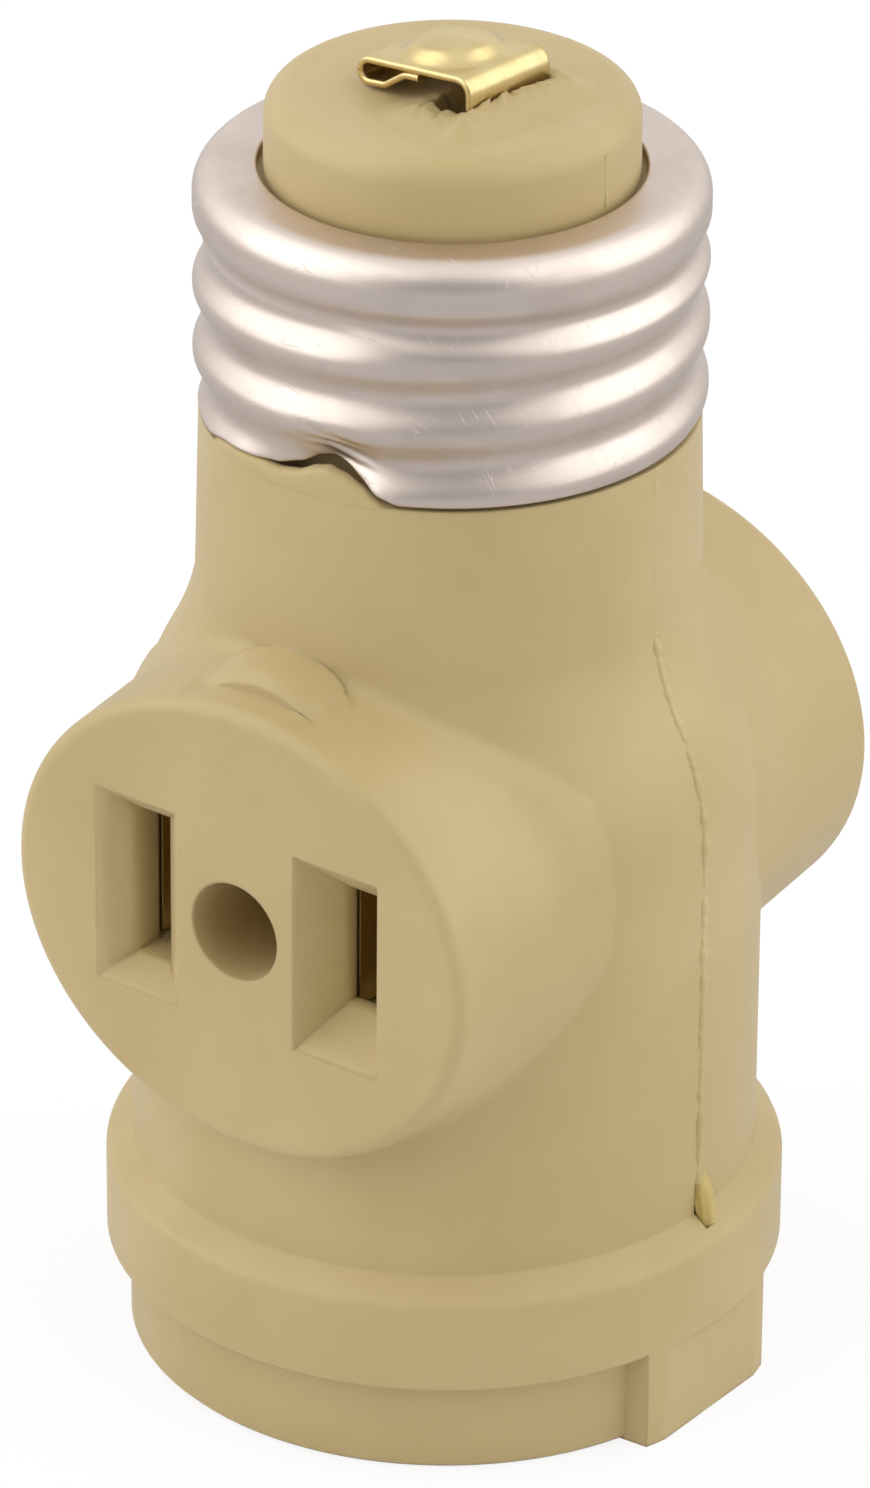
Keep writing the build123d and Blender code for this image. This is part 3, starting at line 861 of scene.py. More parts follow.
@dataclass
class SoftForms:
    """Softer forms: the lug over each outlet, and one slope in place of the collar's ledge."""

    lug_radius: float = 5.5
    lug_height: float = 38.55
    lug_front: float = 15.93
    lug_back: float = 9.0
    touch: float = 0.03
    front_slack: float = 0.02
    longest_edge: float = 0.6
    round_reach: float = 1.1
    round_depth: float = 0.42
    round_half: float = 4.8
    round_fade: float = 1.6
    swell: float = 0.45
    swell_run: float = 4.0
    swell_fade: float = 2.5
    slope_inside: float = 16.35
    slope_outside: float = 17.59
    slope_foot: float = 10.64
    slope_top: float = 11.2
    slope: float = 0.8

    def on_lug(self, point: Vector) -> bool:
        """Tells whether a point lies on the top of a lug.

        Args:
            point: The point, in metres.

        Returns:
            Whether it does.
        """
        x, y, z = point / MM
        on_round = abs(math.hypot(x, z - self.lug_height) - self.lug_radius) < self.touch
        return on_round and z > self.lug_height and self.lug_back < abs(y) < self.lug_front + self.front_slack

    def swelling(self, x: float, y: float) -> float:
        """Works out how far a point on a lug moves outwards.

        Args:
            x: Its distance from the lug's middle.
            y: Its distance from the seam.

        Returns:
            The move, negative where the front edge is rounded off.
        """
        back = self.lug_front - abs(y)
        inside = smoothstep((self.round_half - abs(x)) / self.round_fade)
        sunk = max(0.0, 1 - back / self.round_reach) * inside
        aside = smoothstep((self.lug_radius - abs(x)) / self.swell_fade)
        swell = self.swell * smoothstep(back / self.swell_run) * aside
        return swell - self.round_depth * sunk * sunk

    def soften(self, work: bmesh.types.BMesh) -> None:
        """Rounds the lugs and slopes the ledge of a half shell.

        Args:
            work: The mesh of the half shell.
        """
        refine(work, self.longest_edge, lambda one, other: all(map(self.on_lug, between(one, other, 2))))
        for vert in work.verts:
            x, y, z = vert.co / MM
            if self.on_lug(vert.co):
                share = self.swelling(x, y) / self.lug_radius
                vert.co.x += x * share * MM
                vert.co.z += (z - self.lug_height) * share * MM
            reach = math.hypot(x, y)
            if self.slope_inside < reach < self.slope_outside and self.slope_foot < z < self.slope_top:
                vert.co.z = max(z, self.slope_foot + (self.slope_outside - reach) * self.slope) * MM


@dataclass
class SlotLips:
    """Ragged plastic that stands up round the contact's slot in the nub."""

    inner: float = 1.25
    outer: float = 4.15
    half: float = 3.4
    twist: float = 9.0
    level: float = PLAN.nub_top
    touch: float = 0.01
    reach: float = 2.2
    longest_edge: float = 0.3
    rounds: int = 6
    rise: float = 0.5
    outer_rise: float = 0.5
    outer_start: float = 2.6
    outer_run: float = 1.4
    ragged: float = 0.22
    coarse: float = 2.3
    fine: float = 5.1
    fine_share: float = 0.6
    closing: float = 0.32
    closing_rough: float = 0.25
    edge_width: float = 0.02
    inside: float = 0.4
    seam_fade: float = 0.3

    def away(self, point: Vector) -> tuple[float, Vector]:
        """Measures a point from the slot.

        Args:
            point: The point, in metres.

        Returns:
            Its distance from the slot in millimetres, and the way towards the slot.
        """
        turn = Matrix.Rotation(math.radians(self.twist), 3, "Z")
        turned = turn @ (point / MM)
        across = max(self.inner - turned.x, 0.0, turned.x - self.outer)
        along = max(0.0, abs(turned.y) - self.half)
        nearest = min(self.outer, max(self.inner, turned.x)) - self.inside
        middle = Vector((nearest - turned.x, -turned.y, 0.0))
        if middle.length > 0:
            middle.normalize()
        return math.hypot(across, along), turn.transposed() @ middle

    def on_top(self, point: Vector) -> bool:
        """Tells whether a point in metres is on the nub's top."""
        return abs(point.z / MM - self.level) < self.touch

    def near(self, point: Vector) -> bool:
        """Tells whether a point in metres is on the nub's top and close to the slot."""
        return self.on_top(point) and self.away(point)[0] < self.reach

    def raise_lips(self, work: bmesh.types.BMesh) -> None:
        """Raises and roughens the plastic round the slot.

        Args:
            work: The mesh of a half shell.
        """

        def chosen(one: Vector, other: Vector) -> bool:
            """Tells whether an edge lies on the nub's top and passes close to the slot."""
            return self.on_top(one) and self.on_top(other) and any(map(self.near, between(one, other, 4)))

        refine(work, self.longest_edge, chosen, self.rounds)
        for vert in work.verts:
            if not self.near(vert.co):
                continue
            distance, inward = self.away(vert.co)
            place = vert.co / MM
            seam = smoothstep(abs(place.y) / self.seam_fade)
            share = smoothstep(1 - distance / self.reach)
            rough = noise.noise(place * self.coarse) + self.fine_share * noise.noise(place * self.fine)
            outer = smoothstep((place.x - self.outer_start) / self.outer_run) * self.outer_rise
            if distance < self.edge_width:
                vert.co += inward * (self.closing + self.closing_rough * rough) * seam * MM
            vert.co.z += share * (self.rise + outer + self.ragged * rough * share) * MM


@dataclass
class NotchHollow:
    """Hollow of the core behind the notch of the plug shell, which leaves a dark gap there."""

    radius: float = 11.85
    touch: float = 0.03
    first: float = 256.0
    last: float = 294.0
    margin: float = 4.0
    bottom: float = PLAN.shoulder
    bottom_slack: float = 0.01
    top: float = 57.5
    depth: float = 1.1
    side_fade: float = 6.0
    top_fade: float = 1.0
    longest_edge: float = 0.6

    def on_core(self, point: Vector) -> bool:
        """Tells whether a point in metres lies on the core's radius."""
        return abs(math.hypot(point.x, point.y) / MM - self.radius) < self.touch

    def inside(self, point: Vector) -> bool:
        """Tells whether a point lies on the core's wall near the notch.

        Args:
            point: The point, in metres.

        Returns:
            Whether it does.
        """
        behind = self.first - self.margin < turn_of(point) < self.last + self.margin
        level = self.bottom - self.bottom_slack < point.z / MM < self.top + self.margin
        return self.on_core(point) and behind and level

    def press(self, work: bmesh.types.BMesh) -> None:
        """Presses the hollow into a half shell.

        Args:
            work: The mesh of the half shell.
        """

        def chosen(one: Vector, other: Vector) -> bool:
            """Tells whether an edge of the core's wall has its middle near the notch."""
            return self.on_core(one) and self.on_core(other) and self.inside(one.lerp(other, 0.5))

        refine(work, self.longest_edge, chosen)
        for vert in work.verts:
            if not self.inside(vert.co):
                continue
            turn = turn_of(vert.co)
            share = smoothstep((turn - self.first) / self.side_fade)
            share *= smoothstep((self.last - turn) / self.side_fade)
            share *= smoothstep((self.top - vert.co.z / MM) / self.top_fade)
            share = 1 - self.depth * share / self.radius
            vert.co.x *= share
            vert.co.y *= share


@dataclass
class Housing:
    """The two moulded half shells, taken over from the CAD nodes with smooth shading."""

    merge: float = 0.0005
    crease: float = 50.0
    nodes: tuple[str, ...] = ("front_housing", "rear_housing")

    def half_shell(self, node: str) -> bpy.types.Object:
        """Copies one half shell, joined into one skin with soft normals.

        Args:
            node: The CAD node.

        Returns:
            The new object.
        """
        work = bmesh.new()
        work.from_mesh(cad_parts[node].data)
        bmesh.ops.remove_doubles(work, verts=work.verts, dist=self.merge * MM)
        bmesh.ops.dissolve_degenerate(work, edges=work.edges, dist=self.merge * MM)
        SoftForms().soften(work)
        Flare().fill_out(work)
        NotchHollow().press(work)
        SlotLips().raise_lips(work)
        shade(work, self.crease)
        piece = object_of(f"{node}_moulding", work)
        weights = piece.modifiers.new("normals", "WEIGHTED_NORMAL")
        weights.keep_sharp = True
        keep_result(piece)
        return piece

    def build(self, material: bpy.types.Material) -> None:
        """Builds and dresses both half shells.

        Args:
            material: Their finish.
        """
        for node in self.nodes:
            piece = self.half_shell(node)
            dress(piece, material)
            register(piece, "housing", node)


@dataclass
class PartingFlash:
    """Ragged low bead of plastic that the mould squeezed out along the seam."""

    step: float = 0.1
    spread: float = 0.36
    wander: float = 0.055
    sunk: float = 0.22
    start: float = 13.3
    coarse_end: float = 44.5
    fine_start: float = 49.0
    fine_share: float = 0.45
    neck_top: float = 53.3
    seam_steps: int = 60
    nub_radius: float = 9.5
    nub_start: float = 66.9
    nub_end: float = 69.7
    bead_sides: int = 9
    wave_scales: tuple[float, float] = (350.0, 1100.0)
    wave_seeds: tuple[float, float] = (0.0, 7.0)
    fine_wave: float = 0.6
    wander_gain: float = 4.0
    lump_scale: float = 800.0

    def tree(self) -> bpy.types.NodeTree:
        """Builds the tree that lays a ragged bead along each line.

        Returns:
            The tree.
        """
        bench, given, result = new_tree(
            "ragged_flash",
            "GeometryNodeTree",
            {
                "Lines": (SHAPE, None),
                "Step": (NUMBER, 0.0001),
                "Spread": (NUMBER, 0.0001),
                "Wander": (NUMBER, 0.0001),
                "Coarse End": (NUMBER, 0.04),
                "Fine Start": (NUMBER, 0.05),
                "Fine Share": (NUMBER, 0.3),
                "Finish": (DRESSING, None),
            },
            {"Flash": SHAPE},
        )
        line = bench.node("GeometryNodeMeshToCurve", {"Mesh": given["Lines"]}).outputs[0]
        sampled = bench.node(
            "GeometryNodeResampleCurve", {"Curve": line, "Length": given["Step"]}, mode="LENGTH"
        )
        place = bench.node("GeometryNodeInputPosition").outputs[0]
        height = bench.node("ShaderNodeSeparateXYZ", {0: place}).outputs[2]
        coarse = bench.ramp(height, given["Coarse End"], given["Fine Start"], 1.0, given["Fine Share"])
        waves = []
        for scale, seed in zip(self.wave_scales, self.wave_seeds):
            moved = bench.vector("ADD", place, (seed, seed, seed))
            wave = bench.node("ShaderNodeTexNoise", {"Vector": moved, "Scale": scale, "Detail": 2.0})
            waves.append(bench.vector("SUBTRACT", wave.outputs["Color"], (0.5, 0.5, 0.5)))
        shift = bench.vector("ADD", waves[0], bench.stretched(waves[1], self.fine_wave))
        gain = bench.math("MULTIPLY", coarse, self.wander_gain)
        shift = bench.stretched(bench.stretched(shift, given["Wander"]), gain)
        bent = bench.node("GeometryNodeSetPosition", {"Geometry": sampled.outputs[0], "Offset": shift})
        lumps = bench.cloud(place, self.lump_scale, detail=4.0)
        size = bench.ramp(lumps, low=0.3, high=0.7, start=0.62, end=1.2)
        ring = bench.node(
            "GeometryNodeCurvePrimitiveCircle", {"Resolution": self.bead_sides, "Radius": given["Spread"]}
        )
        bead = bench.node(
            "GeometryNodeCurveToMesh",
            {
                "Curve": bent.outputs[0],
                "Profile Curve": ring.outputs[0],
                "Scale": bench.math("MULTIPLY", size, coarse),
                "Fill Caps": True,
            },
        )
        bench.feed(result.inputs["Flash"], bench.dressed(bead.outputs[0], given["Finish"]))
        return bench.tree

    def seam(self, side: int) -> list[Place]:
        """Lays points up one side of the body and the neck.

        Args:
            side: 1 for the side of +X, -1 for the other.

        Returns:
            The points.
        """
        flare = Flare()
        points = []
        for index in range(self.seam_steps + 1):
            height = self.start + (self.neck_top - self.start) * index / self.seam_steps
            fine = smoothstep((height - self.coarse_end) / (self.fine_start - self.coarse_end))
            reach = flare.radius(height, flare.lift) - self.sunk * (1 - fine * (1 - self.fine_share))
            points.append((side * reach, 0.0, height))
        return points

    def build(self, material: bpy.types.Material) -> None:
        """Builds and dresses the bead.

        Args:
            material: The finish.
        """
        reach = self.nub_radius - self.sunk * self.fine_share
        nub = [[(side * reach, 0.0, level) for level in (self.nub_start, self.nub_end)] for side in (1, -1)]
        vertices, edges = [], []
        for line in (self.seam(1), self.seam(-1), *nub):
            first = len(vertices)
            vertices += line
            edges += [(index, index + 1) for index in range(first, len(vertices) - 1)]
        piece = place_object("parting_flash", mesh_of("parting_flash", vertices, edges))
        values = {
            "Step": self.step * MM,
            "Spread": self.spread * MM,
            "Wander": self.wander * MM,
            "Coarse End": self.coarse_end * MM,
            "Fine Start": self.fine_start * MM,
            "Fine Share": self.fine_share,
            "Finish": material,
        }
        settle(piece, self.tree(), values)
        register(piece, "housing")


@dataclass
class PocketPlug:
    """Lens of clear yellowish plastic left in the seam's pocket over the collar."""

    middle: Place = (16.55, 0.28, 12.1)
    half: Place = (0.5, 0.62, 1.9)
    lean: float = 13.0
    rough: float = 0.12
    rough_scale: float = 2.3
    columns: int = 40
    rows: int = 28

    def build(self, material: bpy.types.Material) -> None:
        """Builds and dresses the lens.

        Args:
            material: Its finish.
        """
        work = bmesh.new()
        bmesh.ops.create_uvsphere(work, u_segments=self.columns, v_segments=self.rows, radius=1.0)
        turn = Matrix.Rotation(math.radians(-self.lean), 4, "Y")
        for vert in work.verts:
            bump = 1 + self.rough * noise.noise(vert.co * self.rough_scale)
            point = Vector(a * b for a, b in zip(vert.co, self.half)) * bump
            vert.co = (turn @ point + Vector(self.middle)) * MM
        shade(work, crease=180.0)
        piece = object_of("pocket_plug", work)
        dress(piece, material)
        register(piece, "housing")


@dataclass
class RolledThread:
    """The rule of a thread that is rolled into a sheet shell, with a ring groove near its end."""

    pitch: float = PLAN.thread_pitch
    depth: float = 0.65
    width: float = 3.55
    valley: float = 56.3
    start: float = 45.0
    end: float = PLAN.ring_groove
    fade: float = 0.4
    ring: float = PLAN.ring_groove
    ring_width: float = 2.9

    @staticmethod
    def labels() -> tuple[str, ...]:
        """Names the tree's inputs that hold the sizes above."""
        return ("Pitch", "Depth", "Width", "Valley", "Start", "End", "Fade", "Ring", "Ring Width")

    @staticmethod
    def tree() -> bpy.types.NodeTree:
        """Builds the tree that presses a helical valley and a ring groove into a shell.

        Returns:
            The tree, built at its first use.
        """
        name = "rolled_thread"
        if name in bpy.data.node_groups:
            return bpy.data.node_groups[name]
        inputs = {"Shell": (SHAPE, None), **{label: (NUMBER, 0.001) for label in RolledThread.labels()}}
        inputs["Finish"] = (DRESSING, None)
        bench, given, result = new_tree(name, "GeometryNodeTree", inputs, {"Shell": SHAPE})
        place = bench.node("GeometryNodeInputPosition").outputs[0]
        x, y, z = bench.node("ShaderNodeSeparateXYZ", {0: place}).outputs
        turn = bench.math("DIVIDE", bench.math("ARCTAN2", y, x), 2 * math.pi)
        rise = bench.math("DIVIDE", bench.math("SUBTRACT", z, given["Valley"]), given["Pitch"])
        phase = bench.math("SUBTRACT", rise, turn)
        part = bench.math("SUBTRACT", phase, bench.math("ROUND", phase))
        offset = bench.math("MULTIPLY", part, given["Pitch"])
        centre = bench.math("SUBTRACT", z, offset)

        def hollow(distance: object, width: object) -> bpy.types.NodeSocket:
            """Returns how deep a valley is, from 1 in its middle to 0 at its sides."""
            share = bench.math("DIVIDE", bench.math("ABSOLUTE", distance), bench.math("MULTIPLY", width, 0.5))
            wave = bench.math("COSINE", bench.math("MULTIPLY", bench.math("MINIMUM", share, 1.0), math.pi))
            return bench.math("MULTIPLY_ADD", wave, 0.5, 0.5)

        full_from = bench.math("ADD", given["Start"], given["Fade"])
        full_to = bench.math("SUBTRACT", given["End"], given["Fade"])
        first = bench.ramp(centre, low=given["Start"], high=full_from)
        last = bench.ramp(centre, low=full_to, high=given["End"], start=1.0, end=0.0)
        helix = bench.math("MULTIPLY", hollow(offset, given["Width"]), bench.math("MULTIPLY", first, last))
        ring = hollow(bench.math("SUBTRACT", z, given["Ring"]), given["Ring Width"])
        softness = 0.15
        joined = bench.math("SMOOTH_MAX", helix, ring, softness)
        amount = bench.math("MULTIPLY", joined, given["Depth"])
        inward = bench.vector("NORMALIZE", bench.vector("MULTIPLY", place, (-1.0, -1.0, 0.0)))
        moved = bench.node(
            "GeometryNodeSetPosition", {"Geometry": given["Shell"], "Offset": bench.stretched(inward, amount)}
        )
        bench.feed(result.inputs["Shell"], bench.dressed(moved.outputs[0], given["Finish"]))
        return bench.tree

    def press(self, piece: bpy.types.Object, material: bpy.types.Material) -> None:
        """Rolls the thread into a plain shell and dresses it.

        Args:
            piece: The plain shell.
            material: Its finish.
        """
        values = {label: getattr(self, label.lower().replace(" ", "_")) * MM for label in self.labels()}
        settle(piece, self.tree(), {**values, "Finish": material})


@dataclass
class PlugShell:
    """Rolled aluminium shell of the screw base, with a pressed notch in its lower edge.

    The notch is a list of turns in degrees, each with how far the edge is bent up there.
    """

    wall: float = 13.1
    sheet: float = PLAN.shell_sheet
    bottom: float = 53.7
    top: float = 66.8
    rim: float = 9.85
    rim_drop: float = 0.03
    roll: float = 1.5
    edge_inside: float = 0.1
    edge_outside: float = 0.14
    rim_edge_above: float = 0.12
    rim_edge_below: float = 0.08
    steps: int = 288
    step: float = 0.17
    notch_reach: float = 4.3
    notch_ease: float = 0.4
    notch: tuple[Point, ...] = (
        (236.0, 0.0),
        (245.0, 0.3),
        (255.0, 0.42),
        (262.5, 0.58),
        (269.0, 0.98),
        (274.0, 1.5),
        (277.5, 1.68),
        (281.5, 1.42),
        (286.0, 0.92),
        (290.5, 0.3),
        (295.0, 0.0),
    )
    lip: float = 0.06
    lip_height: float = 1.2
    curl: float = 0.42
    curl_turn: float = 272.0
    curl_flat: float = 1.3
    curl_spread: float = 18.0
    dent_turn: float = 281.0
    dent_height: float = 56.0
    dent_depth: float = 0.45
    dent_spread: float = 7.5
    dent_rise: float = 0.95
    dent_lean: float = 0.05
    crumple: float = 0.1
    crumple_waves: float = 9.0
    crumple_wander: float = 2.0
    crumple_scale: float = 0.1

    def rise(self, turn: float) -> float:
        """Works out how far the lower edge is bent up.

        Args:
            turn: The turn about the axis, in degrees.

        Returns:
            The height that the edge rises.
        """
        for (first, low), (last, high) in zip(self.notch, self.notch[1:]):
            if first <= turn < last:
                share = (turn - first) / (last - first)
                eased = (1 - self.notch_ease) * share + self.notch_ease * smoothstep(share)
                return low + (high - low) * eased
        return 0.0

    def dent(self, turn: float, height: float) -> float:
        """Works out how deep the dent over the notch is, with its crumpled folds.

        Args:
            turn: The turn about the axis, in degrees.
            height: The height on the shell.

        Returns:
            The depth.
        """
        aside = (turn - self.dent_turn) / self.dent_spread
        above = height - self.dent_height + self.dent_lean * (turn - self.dent_turn)
        share = math.exp(-aside * aside - (above / self.dent_rise) ** 2)
        wander = self.crumple_wander * noise.noise((self.crumple_scale * turn, height, 0.0))
        return share * (self.dent_depth + self.crumple * math.sin(self.crumple_waves * above + wander))

    def place(self, turn: float, radius: float, height: float) -> Point:
        """Moves a point of the plain shell for the notch, its turned-in lip and its dent.

        Args:
            turn: The point's turn about the axis, in degrees.
            radius: Its radius.
            height: Its height.

        Returns:
            Its new radius and height.
        """
        edge = self.bottom + self.rise(turn)
        limit = self.bottom + self.notch_reach
        if height < limit:
            height = limit - (limit - height) * (limit - edge) / self.notch_reach
        near = smoothstep(self.curl_flat - abs(turn - self.curl_turn) / self.curl_spread)
        low = max(0.0, 1 - (height - edge) / self.lip_height)
        return radius - (self.lip + self.curl * near) * low * low - self.dent(turn, height), height

    def build(self, material: bpy.types.Material) -> None:
        """Builds and dresses the shell.

        Args:
            material: Its finish.
        """
        inside = self.wall - self.sheet
        points = [
            (inside, self.bottom),
            (self.wall, self.bottom),
            (self.wall, self.top),
            (self.rim, self.top - self.rim_drop),
            (self.rim, self.top - self.sheet),
            (inside, self.top - self.sheet),
        ]
        radii = [
            self.edge_inside,
            self.edge_outside,
            self.roll,
            self.rim_edge_above,
            self.rim_edge_below,
            self.roll - self.sheet,
        ]
        loop = rounded(points, radii, self.step, closed=True)
        piece = lathe("plug_shell_rolled", loop, self.steps, self.place)
        RolledThread().press(piece, material)
        register(piece, "shell", "plug_shell")


@dataclass
class NeckLip:
    """Plastic of the neck that follows the bent edge of the plug shell."""

    inside: float = 12.2
    neck: float = PLAN.neck_radius
    proud: float = 0.03
    sunk: float = 0.02
    foot: float = 53.15
    shoulder: float = PLAN.shoulder
    stand: float = 0.17
    gap: float = 0.3
    gap_start: float = 255.0
    gap_fade: float = 15.0
    first: float = 236.0
    last: float = 294.0
    end_fade: float = 1 / 12
    steps: int = 116

    def ring(self, step: int) -> list[Place]:
        """Lays the outline of the lip at one step round the neck.

        Args:
            step: The step, from 0 at its first end.

        Returns:
            The points of the outline.
        """
        turn = self.first + (self.last - self.first) * step / self.steps
        open_share = smoothstep((turn - self.gap_start) / self.gap_fade)
        fade = smoothstep(min(step, self.steps - step) / self.steps / self.end_fade)
        rise = self.sunk + fade * (self.stand + PlugShell().rise(turn) - self.gap * open_share)
        outside = self.neck - self.sunk + (self.proud + self.sunk) * fade
        top = self.shoulder + rise
        outline = [
            (self.inside, self.foot),
            (self.neck - self.sunk, self.foot),
            (outside, self.shoulder - 0.05),
            (outside, max(self.shoulder, top - 0.3)),
            (outside - 0.05, top - 0.12),
            (outside - 0.2, top),
            (self.inside, top + self.sunk),
        ]
        angle = math.radians(turn)
        return [(reach * math.cos(angle), reach * math.sin(angle), level) for reach, level in outline]

    def build(self, material: bpy.types.Material) -> None:
        """Builds and dresses the lip.

        Args:
            material: Its finish.
        """
        piece = tube("neck_lip", [self.ring(step) for step in range(self.steps + 1)])
        dress(piece, material)
        register(piece, "housing")


@dataclass
class LampShell:
    """Threaded shell inside the lamp socket, seen through the mouth."""

    wall: float = 13.55
    sheet: float = PLAN.shell_sheet
    rim: float = 14.35
    rim_height: float = 3.5
    rim_bend: float = 0.3
    top: float = PLAN.socket_depth
    top_bend: float = 0.9
    flange: float = 7.6
    first_crest: float = 6.2
    thread_start: float = 7.2
    thread_end: float = 19.2
    thread_fade: float = 0.9
    no_ring: float = 200.0
    steps: int = 216
    step: float = 0.25

    def build(self, material: bpy.types.Material) -> None:
        """Builds and dresses the shell.

        Args:
            material: Its finish.
        """
        inside = self.wall - self.sheet
        corners = [
            (self.rim, self.rim_height - self.sheet, 0.1),
            (self.rim, self.rim_height, 0.1),
            (self.wall, self.rim_height, 0.25),
            (self.wall, self.top, self.top_bend),
            (self.flange, self.top, 0.08),
            (self.flange, self.top - self.sheet, 0.08),
            (inside, self.top - self.sheet, self.top_bend - self.sheet),
            (inside, self.rim_height - self.sheet, self.rim_bend),
        ]
        points = [(reach, level) for reach, level, _ in corners]
        radii = [bend for _, _, bend in corners]
        loop = rounded(points, radii, self.step, closed=True)
        piece = lathe("lamp_shell_rolled", loop, self.steps)
        thread = RolledThread(
            valley=self.first_crest + PLAN.thread_pitch / 2,
            start=self.thread_start,
            end=self.thread_end,
            fade=self.thread_fade,
            ring=self.no_ring,
        )
        thread.press(piece, material)
        register(piece, "shell", "lamp_shell")


@dataclass
class Strip:
    """Strip of sheet metal bent along a line, with softened edges."""

    name: str
    path: list[Point]
    sheet: float
    width: float
    edge: float
    step: float
    crease: float = 50.0
    lift: Optional[Callable[[float, float, float], float]] = None

    def ring(self, index: int) -> list[Place]:
        """Lays the points round the strip at one point of its line.

        Args:
            index: The number of the point.

        Returns:
            The points of the ring.
        """
        half = self.width / 2
        count = max(2, round(self.width / self.step))
        across = [(-half + self.edge) + (self.width - 2 * self.edge) * i / count for i in range(count + 1)]
        before = Vector(self.path[max(0, index - 1)])
        after = Vector(self.path[min(len(self.path) - 1, index + 1)])
        run = (after - before).normalized()
        inward = Vector((-run.y, run.x))
        outline = [(value, 0.0) for value in across]
        outline += [(half, self.edge), (half, self.sheet - self.edge)]
        outline += [(value, self.sheet) for value in reversed(across)]
        outline += [(-half, self.sheet - self.edge), (-half, self.edge)]
        points = []
        for aside, depth in outline:
            along, height = Vector(self.path[index]) + inward * depth
            raised = self.lift(along, aside, height) if self.lift else height
            points.append((along, aside, raised))
        return points

    def build(self) -> bpy.types.Object:
        """Builds the strip and returns its object."""
        return tube(self.name, [self.ring(index) for index in range(len(self.path))], self.crease)


@dataclass
class TipContact:
    """Brass strip folded flat over the nub, with a dome pressed into its top."""

    half_length: float = 3.8
    width: float = 6.05
    nub_top: float = PLAN.nub_top
    height: float = 1.4
    sheet: float = 0.36
    leg: float = 12.0
    tilt_along: float = 0.112
    tilt_across: float = -0.018
    tilt_lift: float = 0.6
    tilt_start: float = -2.5
    tilt_run: float = 2.2
    roll: float = 1.0
    curl: float = 0.79
    curl_slack: float = 0.005
    flat_slope: float = 0.05
    bend_start: float = 1.9
    bend_end: float = 3.2
    tail_end: float = 4.1
    tail_bend: float = 0.8
    tail_gap: float = 0.04
    twist: float = 5.0
    dome_radius: float = 2.95
    dome_flat: float = 1.7
    dome_height: float = 0.77
    dome_crown: float = 0.08
    plate_slack: float = 0.01
    edge: float = 0.07
    step: float = 0.14

    def dome(self, along: float, across: float) -> float:
        """Works out how far the dome lifts a point of the top plate.

        Args:
            along: Its distance from the dome's middle along the strip.
            across: Its distance across it.

        Returns:
            The lift.
        """
        reach = math.hypot(along, across)
        share = (self.dome_radius - reach) / (self.dome_radius - self.dome_flat)
        crown = self.dome_crown * min(1.0, (reach / self.dome_flat) ** 2)
        return max(0.0, smoothstep(share) * (self.dome_height - crown))

    def lift(self, along: float, across: float, height: float) -> float:
        """Presses the dome and tilts the fold.

        Args:
            along: A point's place along the strip.
            across: Its place across it.
            height: Its height on the plain fold.

        Returns:
            Its new height.
        """
        plate = self.nub_top + self.height - self.sheet - self.plate_slack
        tilt = self.tilt_lift + self.tilt_along * along + self.tilt_across * across
        tilt *= smoothstep((height - self.nub_top - self.tilt_start) / self.tilt_run)
        dome = self.dome(along, across) if height > plate else 0.0
        return height + dome + tilt

    def build(self, material: bpy.types.Material) -> None:
        """Builds and dresses the contact.

        Args:
            material: Its finish.
        """
        top = self.nub_top + self.height
        reach = self.half_length
        below = top - 2 * self.curl
        joined = top - 2 * self.sheet - self.tail_gap
        points = [
            (reach, self.nub_top - self.leg),
            (reach, top),
            (-reach, top),
            (-reach, below),
            (self.bend_start - reach, below + self.flat_slope),
            (self.bend_end - reach, joined),
            (self.tail_end - reach, joined),
        ]
        curl = self.curl - self.curl_slack
        bends = [0.0, self.roll, curl, curl, self.tail_bend, self.tail_bend, 0.0]
        path = rounded(points, bends, self.step)
        piece = Strip(
            "tip_contact_folded", path, self.sheet, self.width, self.edge, self.step, lift=self.lift
        ).build()
        piece.data.transform(Matrix.Rotation(math.radians(-self.twist), 4, "Z"))
        dress(piece, material)
        register(piece, "tip", "tip_contact")


